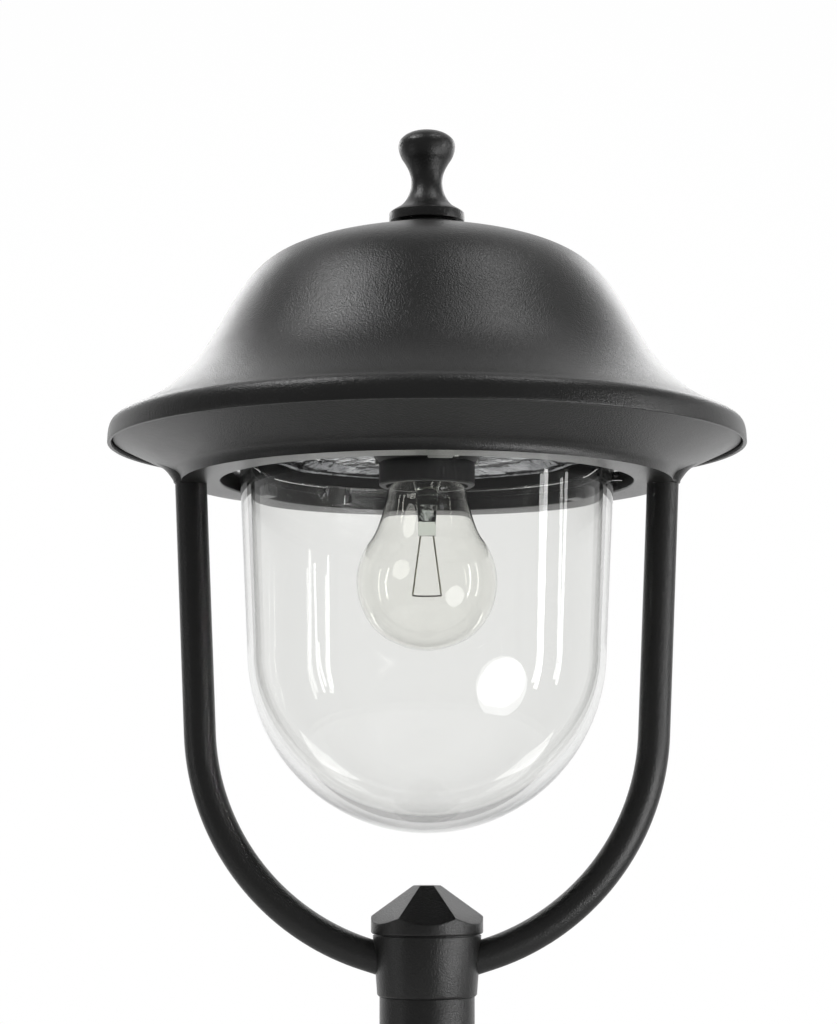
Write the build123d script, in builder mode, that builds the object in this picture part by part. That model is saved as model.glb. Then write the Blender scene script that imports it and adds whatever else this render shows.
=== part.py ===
"""Post top lantern: a domed roof on a cast carrier ring, a clear bell bowl, two bent arms and a post hub.

Millimetres, +Z up. The origin is the centre of the post sleeve's mouth, the arms lie along X and the
front faces -Y. Most pieces turn about the Z axis, so they are drawn as (radius, height) sections on
the XZ plane and revolved.
"""
import os
from math import asin, cos, degrees, radians, sin, tan

from build123d import *

os.makedirs("parts", exist_ok=True)

# ---- driving dimensions -------------------------------------------------------------------------
# Post sleeve and hub
SLEEVE_RADIUS = 20.1
POST_BORE_RADIUS = 17.0
SLEEVE_HEIGHT = 75.0
SPIGOT_LENGTH = 25.0
SPIGOT_RADIUS = 16.0
SPIGOT_SEAT_RADIUS = 16.05
CABLE_BORE_RADIUS = 10.0
HUB_BASE_RADIUS = 21.1
HUB_TOP_RADIUS = 23.0
HUB_TOP = 100.5
HUB_NECK_RADIUS = 22.4
HUB_CHAMBER_RADIUS = 14.0
HUB_CHAMBER_FLOOR = 82.0

# Faceted cap that closes the hub
CAP_SEAT = 101.1
CAP_RADIUS = 23.75
CAP_CORNER_HEIGHT = 108.4
CAP_TIP_HEIGHT = 121.3
CAP_TIP_CORNER = 5.8
CAP_SIDES = 6

# Bent tube arms
ARM_RADIUS = 6.85
ARM_BORE_RADIUS = 4.5
ARM_BEND_RADIUS = 102.0
ARM_LEAN = 2.6
ARM_ENTRY_ANGLE = 17.5
ARM_HUB_X = 25.7
ARM_HUB_Z = 92.4
ARM_INNER_X = 15.2
ARM_TOP_X = 101.86
ARM_SPIGOT_RADIUS = 5.9
ARM_SPIGOT_TOP = 304.5

# Carrier ring
RING_BOTTOM = 293.0
RING_OPENING_RADIUS = 89.0
RING_FLAT_RADIUS = 105.6
RING_EDGE_RADIUS = 135.0
RING_EDGE_HEIGHT = 310.2
RING_SEAT_HEIGHT = 313.2
RING_WALL = 3.5
PLATE_SEAT = 306.4
COVE_RADIUS = 5.5
COVE_SLOPE = 25.0

# Bayonet between the ring's tabs and the bowl's lugs
TAB_COUNT = 3
TAB_FIRST_ANGLE = 33.5
TAB_WIDTH = 10.0
TAB_INNER_RADIUS = 81.9
TAB_BOTTOM = RING_BOTTOM
TAB_TOP = 297.4
LUG_BOTTOM = 297.7
BOWL_LUG_RADIUS = 84.3
BOWL_RIM_TOP = 301.0
NOTCH_WIDTH = 14.0
TWIST = 31.5

# Bell bowl
BOWL_RIM_RADIUS = 80.6
BOWL_RIM_INNER_RADIUS = 76.2
BOWL_WAIST_RADIUS = 76.9
BOWL_WAIST_HEIGHT = 221.0
BOWL_BOTTOM = 143.1
BOWL_WALL = 2.7
BOWL_BASE_WALL = 5.6

# Roof
ROOF_WALL = 1.6
ROOF_RADIUS = 137.3
ROOF_LIP_BOTTOM = 308.7
ROOF_TOP = 406.3
ROOF_TOP_FLAT_RADIUS = 15.0
ROOF_CURVE = [(36.0, 400.8), (56.0, 395.0), (69.6, 388.0), (80.7, 376.0), (90.1, 360.0), (101.5, 342.0),
              (116.6, 328.0), (131.0, 320.1), (135.6, 317.3), (137.2, 311.5)]

# Finial and the stud that it screws on
FINIAL_BOTTOM = 407.6
FINIAL_TOP = 448.7
FINIAL_FLANGE_RADIUS = 16.45
STUD_RADIUS = 4.0
STUD_BOTTOM = 343.6
STUD_TOP = 428.0
BRIDGE_TOP = 352.0
BRIDGE_WIDTH = 18.0
BRIDGE_THICKNESS = 2.0

# Lampholder and lamp
HOLDER_MOUTH = 292.5
HOLDER_SKIRT_RADIUS = 20.7
HOLDER_FLANGE_RADIUS = 22.8
HOLDER_FLANGE_BOTTOM = 304.2
HOLDER_FLANGE_CONE = 2.2
HOLDER_BODY_RADIUS = 18.0
HOLDER_TOP = 334.0
SCREW_SHELL_RADIUS = 13.9
LAMP_RADIUS = 30.3
LAMP_CENTRE = 251.0
LAMP_NECK_TOP = 305.0
LAMP_THREAD_RADIUS = 13.05
LAMP_CONTACT_TOP = 325.6
GLASS_WALL = 0.8

# Reflector plate
PLATE_RADIUS = 97.0
PLATE_THICKNESS = 0.8
PLATE_SCREW_CIRCLE = 93.5
PLATE_TOP = PLATE_SEAT + PLATE_THICKNESS


# ---- helpers ------------------------------------------------------------------------------------
def save(part, label):
    """Label one sub-part and write it to its own STEP file."""
    part.label = label
    export_step(part, f"parts/{label}.step")


def polar(radius, angle, height):
    """Point at a radius and an angle about the Z axis, at a height."""
    return (radius * cos(radians(angle)), radius * sin(radians(angle)), height)


def across(angle, radius, height):
    """Plane whose Z axis points outwards from the Z axis at the given angle."""
    return Plane(
        origin=polar(radius, angle, height),
        x_dir=(-sin(radians(angle)), cos(radians(angle)), 0),
        z_dir=(cos(radians(angle)), sin(radians(angle)), 0),
    )


def arm_plane(side, height):
    """Plane square to the upper run of an arm, side +1 for the right arm and -1 for the left."""
    lean = radians(ARM_LEAN)
    x = ARM_TOP_X + (height - RING_BOTTOM) * tan(lean)
    return Plane(origin=(side * x, 0, height), x_dir=(0, 1, 0), z_dir=(side * sin(lean), 0, cos(lean)))


def arm_entry_plane(side, x):
    """Plane square to the lower run of an arm, at a distance x from the lantern's axis."""
    entry = radians(ARM_ENTRY_ANGLE)
    z = ARM_HUB_Z + (x - ARM_HUB_X) * tan(entry)
    return Plane(origin=(side * x, 0, z), x_dir=(0, 1, 0), z_dir=(side * cos(entry), 0, sin(entry)))


def pan_screw(head_radius, head_height, shank_radius, shank_length):
    """Pan-head screw with a cross recess, head down to its seat at Z = 0 and shank below."""
    with BuildPart() as screw:
        with BuildSketch():
            Circle(head_radius)
        extrude(amount=head_height, taper=18)
        with BuildSketch(Plane.XY.offset(head_height)):
            Rectangle(head_radius, head_radius / 4)
            Rectangle(head_radius / 4, head_radius)
        extrude(amount=-head_height / 2, mode=Mode.SUBTRACT)
        with BuildSketch():
            Circle(shank_radius)
        extrude(amount=-shank_length)
    return screw.part


def grub_screw(radius, length):
    """Socket set screw, its driven face at Z = 0 and its point below."""
    with BuildPart() as screw:
        with BuildSketch():
            Circle(radius)
            RegularPolygon(radius / 2, 6, mode=Mode.SUBTRACT)
        extrude(amount=-length / 2)
        with BuildSketch(Plane.XY.offset(-length / 2)):
            Circle(radius)
        extrude(amount=-length / 2)
    return screw.part


# ---- post sleeve --------------------------------------------------------------------------------
POST_SCREW_HEIGHT = 18.0
POST_SCREW_RADIUS = 3.0
POST_SCREW_ANGLES = (90.0, 210.0, 330.0)
HUB_SCREW_HEIGHT = 60.0
HUB_SCREW_RADIUS = 2.5
HUB_SCREW_ANGLES = (60.0, 120.0)
SCREW_GAP = 0.05

with BuildPart() as post_sleeve:
    with BuildSketch():
        Circle(SLEEVE_RADIUS)
    extrude(amount=SLEEVE_HEIGHT)
    with BuildSketch():
        Circle(POST_BORE_RADIUS)
    extrude(amount=SLEEVE_HEIGHT - SPIGOT_LENGTH, mode=Mode.SUBTRACT)
    with BuildSketch():
        Circle(SPIGOT_SEAT_RADIUS)
    extrude(amount=SLEEVE_HEIGHT, mode=Mode.SUBTRACT)
    rim = post_sleeve.faces().sort_by(Axis.Z)[0].outer_wire().edges()
    chamfer(rim, 0.8)
    for angle in POST_SCREW_ANGLES:
        with BuildSketch(across(angle, 0, POST_SCREW_HEIGHT)):
            Circle(POST_SCREW_RADIUS + SCREW_GAP)
        extrude(amount=SLEEVE_RADIUS + 1, mode=Mode.SUBTRACT)
    for angle in HUB_SCREW_ANGLES:
        with BuildSketch(across(angle, 0, HUB_SCREW_HEIGHT)):
            Circle(HUB_SCREW_RADIUS + SCREW_GAP)
        extrude(amount=SLEEVE_RADIUS + 1, mode=Mode.SUBTRACT)
save(post_sleeve.part, "post_sleeve")

with BuildPart() as post_grub_screws:
    for angle in POST_SCREW_ANGLES:
        with Locations(across(angle, SLEEVE_RADIUS, POST_SCREW_HEIGHT)):
            add(grub_screw(POST_SCREW_RADIUS, SLEEVE_RADIUS - POST_BORE_RADIUS - 0.1))
save(post_grub_screws.part, "post_grub_screws")

with BuildPart() as hub_set_screws:
    for angle in HUB_SCREW_ANGLES:
        with Locations(across(angle, SLEEVE_RADIUS, HUB_SCREW_HEIGHT)):
            add(grub_screw(HUB_SCREW_RADIUS, 8.0))
save(hub_set_screws.part, "hub_set_screws")

# ---- hub ----------------------------------------------------------------------------------------
ARM_SCREW_X = 18.0
ARM_SCREW_RADIUS = 2.0
ARM_SCREW_DEPTH = 7.1
ARM_SCREW_LENGTH = 5.0
HUB_CHAMFER = 0.8
arm_screw_height = ARM_HUB_Z + (ARM_SCREW_X - ARM_HUB_X) * tan(radians(ARM_ENTRY_ANGLE))
spigot_bottom = SLEEVE_HEIGHT - SPIGOT_LENGTH

with BuildPart() as hub:
    with BuildSketch(Plane.XZ):
        with BuildLine():
            Polyline(
                (CABLE_BORE_RADIUS, spigot_bottom),
                (SPIGOT_RADIUS, spigot_bottom),
                (SPIGOT_RADIUS, SLEEVE_HEIGHT),
                (HUB_BASE_RADIUS - HUB_CHAMFER, SLEEVE_HEIGHT),
                (HUB_BASE_RADIUS, SLEEVE_HEIGHT + HUB_CHAMFER),
                (HUB_TOP_RADIUS, HUB_TOP),
                (HUB_NECK_RADIUS, HUB_TOP),
                (HUB_NECK_RADIUS, CAP_SEAT),
                (HUB_CHAMBER_RADIUS, CAP_SEAT),
                (HUB_CHAMBER_RADIUS, HUB_CHAMBER_FLOOR),
                (CABLE_BORE_RADIUS, HUB_CHAMBER_FLOOR),
                close=True,
            )
        make_face()
    revolve(axis=Axis.Z)
    for side in (-1, 1):
        with BuildSketch(arm_entry_plane(side, ARM_INNER_X - 4)):
            Circle(ARM_RADIUS + 0.1)
        extrude(amount=20, mode=Mode.SUBTRACT)
        with BuildSketch(Plane.XZ.offset(-HUB_TOP_RADIUS)):
            with Locations((side * ARM_SCREW_X, arm_screw_height)):
                Circle(ARM_SCREW_RADIUS + SCREW_GAP)
        extrude(amount=HUB_TOP_RADIUS - ARM_RADIUS, mode=Mode.SUBTRACT)
    for angle in HUB_SCREW_ANGLES:
        with BuildSketch(across(angle, 0, HUB_SCREW_HEIGHT)):
            Circle(HUB_SCREW_RADIUS + SCREW_GAP)
        extrude(amount=SLEEVE_RADIUS, mode=Mode.SUBTRACT)
save(hub.part, "hub")

with BuildPart() as arm_grub_screws:
    for side in (-1, 1):
        end = (side * ARM_SCREW_X, ARM_SCREW_DEPTH + ARM_SCREW_LENGTH, arm_screw_height)
        with Locations(Plane(origin=end, x_dir=(1, 0, 0), z_dir=(0, 1, 0))):
            add(grub_screw(ARM_SCREW_RADIUS, ARM_SCREW_LENGTH))
save(arm_grub_screws.part, "arm_grub_screws")

# ---- hub cap: a cylinder under a six-sided point ------------------------------------------------
CAP_SPIGOT_DEPTH = 3.0
CAP_SPIGOT_RADIUS = HUB_CHAMBER_RADIUS - 0.1

with BuildPart() as hub_cap:
    with BuildSketch(Plane.XY.offset(CAP_SEAT)):
        Circle(CAP_RADIUS)
    extrude(amount=CAP_TIP_HEIGHT - CAP_SEAT)
    chamfer(hub_cap.edges().group_by(Axis.Z)[0], 1.0)
    with BuildPart(mode=Mode.INTERSECT) as facets:
        edge_slope = (CAP_TIP_HEIGHT - CAP_CORNER_HEIGHT) / (CAP_RADIUS - CAP_TIP_CORNER)
        base_corner = CAP_TIP_CORNER + (CAP_TIP_HEIGHT - CAP_SEAT) / edge_slope
        with BuildSketch(Plane.XY.offset(CAP_SEAT)):
            RegularPolygon(base_corner, CAP_SIDES)
        with BuildSketch(Plane.XY.offset(CAP_TIP_HEIGHT)):
            RegularPolygon(CAP_TIP_CORNER, CAP_SIDES)
        loft()
    with BuildSketch(Plane.XY.offset(CAP_SEAT)):
        Circle(CAP_SPIGOT_RADIUS)
        Circle(CAP_SPIGOT_RADIUS - 2.5, mode=Mode.SUBTRACT)
    extrude(amount=-CAP_SPIGOT_DEPTH)
save(hub_cap.part, "hub_cap")

# ---- arms ---------------------------------------------------------------------------------------
entry_slope = tan(radians(ARM_ENTRY_ANGLE))
lean_slope = tan(radians(ARM_LEAN))
corner_x = (ARM_TOP_X + (ARM_HUB_Z - ARM_HUB_X * entry_slope - RING_BOTTOM) * lean_slope) / (1 - entry_slope * lean_slope)
corner_z = ARM_HUB_Z + (corner_x - ARM_HUB_X) * entry_slope
ARM_OVERRUN = 3.0


def bent_arm(side):
    """One tube arm from the hub's socket to the ring, with a reduced spigot at its top."""
    start = arm_entry_plane(side, ARM_INNER_X)
    end = arm_plane(side, RING_BOTTOM + ARM_OVERRUN)
    with BuildPart() as arm:
        with BuildLine() as route:
            FilletPolyline(start.origin, (side * corner_x, 0, corner_z), end.origin, radius=ARM_BEND_RADIUS)
        with BuildSketch(start):
            Circle(ARM_RADIUS)
        sweep(path=route.line)
        with BuildSketch(Plane.XY.offset(RING_BOTTOM)):
            with Locations((side * ARM_TOP_X, 0)):
                Rectangle(40, 40)
        extrude(amount=20, mode=Mode.SUBTRACT)
        with BuildSketch(arm_plane(side, RING_BOTTOM - 1)):
            Circle(ARM_SPIGOT_RADIUS)
        extrude(amount=ARM_SPIGOT_TOP - RING_BOTTOM + 1)
    with BuildPart() as duct:
        with BuildLine() as duct_route:
            FilletPolyline(
                arm_entry_plane(side, ARM_INNER_X - 1).origin,
                (side * corner_x, 0, corner_z),
                arm_plane(side, ARM_SPIGOT_TOP + 1).origin,
                radius=ARM_BEND_RADIUS,
            )
        with BuildSketch(arm_entry_plane(side, ARM_INNER_X - 1)):
            Circle(ARM_BORE_RADIUS)
        sweep(path=duct_route.line)
    return arm.part - duct.part


with BuildPart() as right_arm:
    add(bent_arm(1))
save(right_arm.part, "right_arm")

with BuildPart() as left_arm:
    add(bent_arm(-1))
save(left_arm.part, "left_arm")

# ---- carrier ring -------------------------------------------------------------------------------
BOSS_RADIUS = 4.2
RING_SCREW_RADIUS = 1.6
PLATE_SCREW_ANGLES = (45.0, 135.0, 225.0, 315.0)
BRIDGE_SCREW_ANGLES = (90.0, 270.0)
SOCKET_FLARE = [(7.5, 293.4), (8.4, 295.3), (10.3, 297.8), (12.6, 299.9), (15.0, 301.5)]
SOCKET_TOP = 303.0
cove_turn = radians(90 - COVE_SLOPE)
cove_start = (RING_FLAT_RADIUS, RING_BOTTOM)
cove_end = (
    RING_FLAT_RADIUS + COVE_RADIUS * (1 - cos(cove_turn)),
    RING_BOTTOM + COVE_RADIUS * sin(cove_turn),
)

with BuildPart() as carrier_ring:
    with BuildSketch(Plane.XZ):
        with BuildLine():
            Line((RING_OPENING_RADIUS, RING_BOTTOM), cove_start)
            TangentArc(cove_start, cove_end, tangent=(0, 1))
            Line(cove_end, (RING_EDGE_RADIUS, RING_EDGE_HEIGHT))
            Polyline(
                (RING_EDGE_RADIUS, RING_EDGE_HEIGHT),
                (RING_EDGE_RADIUS, RING_SEAT_HEIGHT),
                (RING_EDGE_RADIUS - 4.5, RING_SEAT_HEIGHT),
                (RING_FLAT_RADIUS, RING_BOTTOM + 2.4 * RING_WALL),
                (RING_FLAT_RADIUS - 3, RING_BOTTOM + RING_WALL),
                (RING_OPENING_RADIUS + RING_WALL, RING_BOTTOM + RING_WALL),
                (RING_OPENING_RADIUS + RING_WALL, PLATE_SEAT),
                (RING_OPENING_RADIUS, PLATE_SEAT),
                (RING_OPENING_RADIUS, RING_BOTTOM),
            )
        make_face()
    revolve(axis=Axis.Z)
    # Screw bosses beside the inner wall
    with BuildSketch(Plane.XY.offset(RING_BOTTOM + 1)):
        for angle in PLATE_SCREW_ANGLES + BRIDGE_SCREW_ANGLES:
            with Locations(polar(PLATE_SCREW_CIRCLE, angle, 0)):
                Circle(BOSS_RADIUS)
    extrude(amount=PLATE_SEAT - RING_BOTTOM - 1)
    # Arm sockets: a short collar whose side flares out into the cove
    for side in (-1, 1):
        with BuildSketch(Plane.XZ):
            with BuildLine():
                foot = (side * ARM_TOP_X, RING_BOTTOM)
                collar = [(side * (ARM_TOP_X + radius), height) for radius, height in SOCKET_FLARE]
                Polyline(collar[0], (collar[0][0], RING_BOTTOM), foot, (side * ARM_TOP_X, SOCKET_TOP),
                         (collar[-1][0], SOCKET_TOP), collar[-1])
                Spline(*collar, tangents=((0, 1), (side * 1, 0.5)))
            make_face()
        revolve(axis=Axis((side * ARM_TOP_X, 0, 0), (0, 0, 1)))
    with BuildSketch(Plane.XY.offset(RING_BOTTOM)):
        Circle(RING_OPENING_RADIUS)
    extrude(amount=PLATE_SEAT - RING_BOTTOM, mode=Mode.SUBTRACT)
    # Bayonet tabs
    with BuildSketch(Plane.XY.offset(TAB_BOTTOM)):
        with PolarLocations(0, TAB_COUNT, TAB_FIRST_ANGLE):
            with Locations(((TAB_INNER_RADIUS + RING_OPENING_RADIUS + 1) / 2, 0)):
                Rectangle(RING_OPENING_RADIUS + 1 - TAB_INNER_RADIUS, TAB_WIDTH)
    extrude(amount=TAB_TOP - TAB_BOTTOM)
    # Screw holes and arm bores
    with BuildSketch(Plane.XY.offset(PLATE_SEAT)):
        for angle in PLATE_SCREW_ANGLES + BRIDGE_SCREW_ANGLES:
            with Locations(polar(PLATE_SCREW_CIRCLE, angle, 0)):
                Circle(RING_SCREW_RADIUS)
    extrude(amount=RING_BOTTOM + RING_WALL - PLATE_SEAT, mode=Mode.SUBTRACT)
    for side in (-1, 1):
        with BuildSketch(arm_plane(side, RING_BOTTOM - 2)):
            Circle(ARM_SPIGOT_RADIUS + 0.1)
        extrude(amount=30, mode=Mode.SUBTRACT)
save(carrier_ring.part, "carrier_ring")

# ---- reflector plate ----------------------------------------------------------------------------
PLATE_BEAD_RADIUS = 60.0
PLATE_BEAD_WIDTH = 9.0
PLATE_BEAD_RISE = 2.5
HOLDER_CLEARANCE = 0.5
HOLDER_SCREW_CIRCLE = 21.1
HOLDER_SCREW_RADIUS = 1.2
HOLDER_SCREW_ANGLES = (0.0, 180.0)

with BuildPart() as reflector_plate:
    with BuildSketch(Plane.XZ):
        with BuildLine():
            bead_in = PLATE_BEAD_RADIUS - PLATE_BEAD_WIDTH
            bead_out = PLATE_BEAD_RADIUS + PLATE_BEAD_WIDTH
            Polyline((bead_in, PLATE_SEAT), (HOLDER_BODY_RADIUS + HOLDER_CLEARANCE, PLATE_SEAT),
                     (HOLDER_BODY_RADIUS + HOLDER_CLEARANCE, PLATE_TOP), (bead_in, PLATE_TOP))
            ThreePointArc((bead_in, PLATE_TOP), (PLATE_BEAD_RADIUS, PLATE_TOP + PLATE_BEAD_RISE), (bead_out, PLATE_TOP))
            Polyline((bead_out, PLATE_TOP), (PLATE_RADIUS, PLATE_TOP), (PLATE_RADIUS, PLATE_SEAT),
                     (bead_out, PLATE_SEAT))
            ThreePointArc((bead_out, PLATE_SEAT), (PLATE_BEAD_RADIUS, PLATE_SEAT + PLATE_BEAD_RISE), (bead_in, PLATE_SEAT))
        make_face()
    revolve(axis=Axis.Z)
    with BuildSketch(Plane.XY.offset(PLATE_SEAT)):
        for angle in PLATE_SCREW_ANGLES + BRIDGE_SCREW_ANGLES:
            with Locations(polar(PLATE_SCREW_CIRCLE, angle, 0)):
                Circle(RING_SCREW_RADIUS + 0.3)
        for angle in HOLDER_SCREW_ANGLES:
            with Locations(polar(HOLDER_SCREW_CIRCLE, angle, 0)):
                Circle(HOLDER_SCREW_RADIUS + 0.15)
    extrude(amount=PLATE_THICKNESS, mode=Mode.SUBTRACT)
save(reflector_plate.part, "reflector_plate")

with BuildPart() as plate_screws:
    for angle in PLATE_SCREW_ANGLES:
        with Locations(polar(PLATE_SCREW_CIRCLE, angle, PLATE_TOP)):
            add(pan_screw(3.2, 2.2, RING_SCREW_RADIUS - 0.1, 8.0))
save(plate_screws.part, "plate_screws")

# ---- bowl gasket and roof seal ------------------------------------------------------------------
with BuildPart() as bowl_gasket:
    with BuildSketch(Plane.XY.offset(BOWL_RIM_TOP + 0.3)):
        Circle(BOWL_LUG_RADIUS)
        Circle(BOWL_RIM_INNER_RADIUS + 0.8, mode=Mode.SUBTRACT)
    extrude(amount=PLATE_SEAT - BOWL_RIM_TOP - 0.3)
save(bowl_gasket.part, "bowl_gasket")

SEAL_RADIUS = 132.7
SEAL_SECTION = 1.95
with BuildPart() as roof_seal:
    with BuildSketch(Plane.XZ):
        with Locations((SEAL_RADIUS, RING_SEAT_HEIGHT + SEAL_SECTION + 0.05)):
            Circle(SEAL_SECTION)
    revolve(axis=Axis.Z)
save(roof_seal.part, "roof_seal")

# ---- bowl ---------------------------------------------------------------------------------------
STOP_RIB_WIDTH = 2.0
STOP_RIB_RADIUS = 83.9
STOP_RIB_BOTTOM = 293.9
STOP_PLAY = 0.5
notch_first_angle = TAB_FIRST_ANGLE - TWIST
inner_waist = BOWL_WAIST_RADIUS - BOWL_WALL
outer_depth = BOWL_WAIST_HEIGHT - BOWL_BOTTOM
inner_depth = outer_depth - BOWL_BASE_WALL
rib_half_angle = degrees(asin(STOP_RIB_WIDTH / 2 / BOWL_LUG_RADIUS))
tab_half_angle = degrees(asin(TAB_WIDTH / 2 / BOWL_LUG_RADIUS))


def bowl_curve(waist, depth):
    """Points of a quarter ellipse from the bowl's waist down to its lowest point on the axis."""
    turns = [radians(15 * step) for step in range(7)]
    return [(waist * cos(turn), BOWL_WAIST_HEIGHT - depth * sin(turn)) for turn in turns]


with BuildPart() as bowl:
    with BuildSketch(Plane.XZ):
        with BuildLine():
            Polyline(
                (BOWL_WAIST_RADIUS, BOWL_WAIST_HEIGHT),
                (BOWL_RIM_RADIUS, BOWL_RIM_TOP - 4.0),
                (BOWL_RIM_RADIUS, BOWL_RIM_TOP),
                (BOWL_RIM_INNER_RADIUS, BOWL_RIM_TOP),
                (inner_waist, BOWL_WAIST_HEIGHT),
            )
            Spline(*bowl_curve(inner_waist, inner_depth), tangents=((0, -1), (-1, 0)))
            Line((0, BOWL_BOTTOM), (0, BOWL_BOTTOM + BOWL_BASE_WALL))
            Spline(*bowl_curve(BOWL_WAIST_RADIUS, outer_depth), tangents=((0, -1), (-1, 0)))
        make_face()
    revolve(axis=Axis.Z)
    # Lug ring, cut into three lugs by the entry notches
    with BuildSketch(Plane.XY.offset(LUG_BOTTOM)):
        Circle(BOWL_LUG_RADIUS)
        Circle(BOWL_RIM_RADIUS - 1, mode=Mode.SUBTRACT)
        with PolarLocations(0, TAB_COUNT, notch_first_angle):
            with Locations((BOWL_RIM_RADIUS + 5, 0)):
                Rectangle(10, NOTCH_WIDTH, mode=Mode.SUBTRACT)
    extrude(amount=BOWL_RIM_TOP - LUG_BOTTOM)
    # Stop ribs: one at the notch, one where the twist ends
    open_stop = notch_first_angle - tab_half_angle - rib_half_angle - STOP_PLAY
    shut_stop = TAB_FIRST_ANGLE + tab_half_angle + rib_half_angle + STOP_PLAY
    for start in (open_stop, shut_stop):
        with BuildSketch(Plane.XY.offset(STOP_RIB_BOTTOM)):
            with PolarLocations(0, TAB_COUNT, start):
                with Locations(((BOWL_RIM_RADIUS - 1 + STOP_RIB_RADIUS) / 2, 0)):
                    Rectangle(STOP_RIB_RADIUS - BOWL_RIM_RADIUS + 1, STOP_RIB_WIDTH)
        extrude(amount=LUG_BOTTOM - STOP_RIB_BOTTOM + 1)
save(bowl.part, "bowl")

# ---- roof ---------------------------------------------------------------------------------------
with BuildPart() as roof_shell:
    with BuildSketch(Plane.XZ):
        with BuildLine() as outside:
            crown = Line((0, ROOF_TOP), (ROOF_TOP_FLAT_RADIUS, ROOF_TOP))
            dome = Spline((ROOF_TOP_FLAT_RADIUS, ROOF_TOP), *ROOF_CURVE, (ROOF_RADIUS, ROOF_LIP_BOTTOM),
                          tangents=((1, -0.25), (0, -1)))
            Line(dome @ 1, (0, ROOF_LIP_BOTTOM))
            Line((0, ROOF_LIP_BOTTOM), (0, ROOF_TOP))
        make_face()
    revolve(axis=Axis.Z)
    offset(amount=-ROOF_WALL, openings=roof_shell.faces().sort_by(Axis.Z)[0])
    with BuildSketch(Plane.XY.offset(ROOF_TOP)):
        Circle(STUD_RADIUS + 0.3)
    extrude(amount=-2 * ROOF_WALL, mode=Mode.SUBTRACT)
save(roof_shell.part, "roof_shell")

with BuildPart() as finial_washer:
    with BuildSketch(Plane.XY.offset(ROOF_TOP)):
        Circle(13.0)
        Circle(STUD_RADIUS + 0.3, mode=Mode.SUBTRACT)
    extrude(amount=FINIAL_BOTTOM - ROOF_TOP - 0.1)
save(finial_washer.part, "finial_washer")

# ---- finial: a turned knob that is also the roof's nut ------------------------------------------
FINIAL_BORE_TOP = 431.0
FINIAL_KNOB = [(8.8, 447.0), (12.35, 443.0), (12.1, 439.5)]
FINIAL_COLLAR = (9.9, 434.9)
FINIAL_NECK_TOP = (9.5, 434.2)
FINIAL_WAIST = [(7.6, 430.4), (6.8, 426.3), (7.5, 421.3)]
FINIAL_FLARE = (12.2, 414.5)
FINIAL_SHOULDER = (15.1, 412.8)

with BuildPart() as finial:
    with BuildSketch(Plane.XZ):
        with BuildLine():
            knob = Spline((0, FINIAL_TOP), *FINIAL_KNOB, FINIAL_COLLAR, tangents=((1, 0), (-0.8, -1)))
            Line(FINIAL_COLLAR, FINIAL_NECK_TOP)
            neck = Spline(FINIAL_NECK_TOP, *FINIAL_WAIST, FINIAL_FLARE, tangents=((-0.6, -1), (1, -0.7)))
            Polyline(
                FINIAL_FLARE,
                FINIAL_SHOULDER,
                (FINIAL_FLANGE_RADIUS, 411.8),
                (FINIAL_FLANGE_RADIUS, FINIAL_BOTTOM),
                (STUD_RADIUS + 0.3, FINIAL_BOTTOM),
                (STUD_RADIUS + 0.3, FINIAL_BORE_TOP),
                (0, FINIAL_BORE_TOP + 2),
                (0, FINIAL_TOP),
            )
        make_face()
    revolve(axis=Axis.Z)
save(finial.part, "finial")

# ---- bridge, stud and nuts that carry the roof --------------------------------------------------
BRIDGE_FOOT_INNER = 85.0
BRIDGE_FOOT_OUTER = 98.5
BRIDGE_TOP_HALF = 34.0
EARTH_SCREW_Y = 22.0
EARTH_SCREW_RADIUS = 2.0
EARTH_TAG_THICKNESS = 0.8
NUT_RADIUS = 7.5
NUT_HEIGHT = 6.5

with BuildPart() as roof_bridge:
    with BuildSketch(Plane.YZ.offset(-BRIDGE_WIDTH / 2)):
        with BuildLine() as strip:
            half = Polyline(
                (BRIDGE_FOOT_OUTER, PLATE_TOP),
                (BRIDGE_FOOT_INNER, PLATE_TOP),
                (BRIDGE_TOP_HALF, BRIDGE_TOP - BRIDGE_THICKNESS),
                (-BRIDGE_TOP_HALF, BRIDGE_TOP - BRIDGE_THICKNESS),
                (-BRIDGE_FOOT_INNER, PLATE_TOP),
                (-BRIDGE_FOOT_OUTER, PLATE_TOP),
                (-BRIDGE_FOOT_OUTER, PLATE_TOP + BRIDGE_THICKNESS),
                (-BRIDGE_FOOT_INNER - 1.2, PLATE_TOP + BRIDGE_THICKNESS),
                (-BRIDGE_TOP_HALF - 0.8, BRIDGE_TOP),
                (BRIDGE_TOP_HALF + 0.8, BRIDGE_TOP),
                (BRIDGE_FOOT_INNER + 1.2, PLATE_TOP + BRIDGE_THICKNESS),
                (BRIDGE_FOOT_OUTER, PLATE_TOP + BRIDGE_THICKNESS),
                close=True,
            )
        make_face()
    extrude(amount=BRIDGE_WIDTH)
    with BuildSketch(Plane.XY.offset(BRIDGE_TOP)):
        Circle(STUD_RADIUS + 0.2)
        with Locations((0, EARTH_SCREW_Y)):
            Circle(EARTH_SCREW_RADIUS + 0.1)
    extrude(amount=-2 * BRIDGE_THICKNESS, mode=Mode.SUBTRACT)
    with BuildSketch(Plane.XY.offset(PLATE_TOP)):
        for angle in BRIDGE_SCREW_ANGLES:
            with Locations(polar(PLATE_SCREW_CIRCLE, angle, 0)):
                Circle(RING_SCREW_RADIUS + 0.3)
    extrude(amount=BRIDGE_THICKNESS, mode=Mode.SUBTRACT)
save(roof_bridge.part, "roof_bridge")

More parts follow.
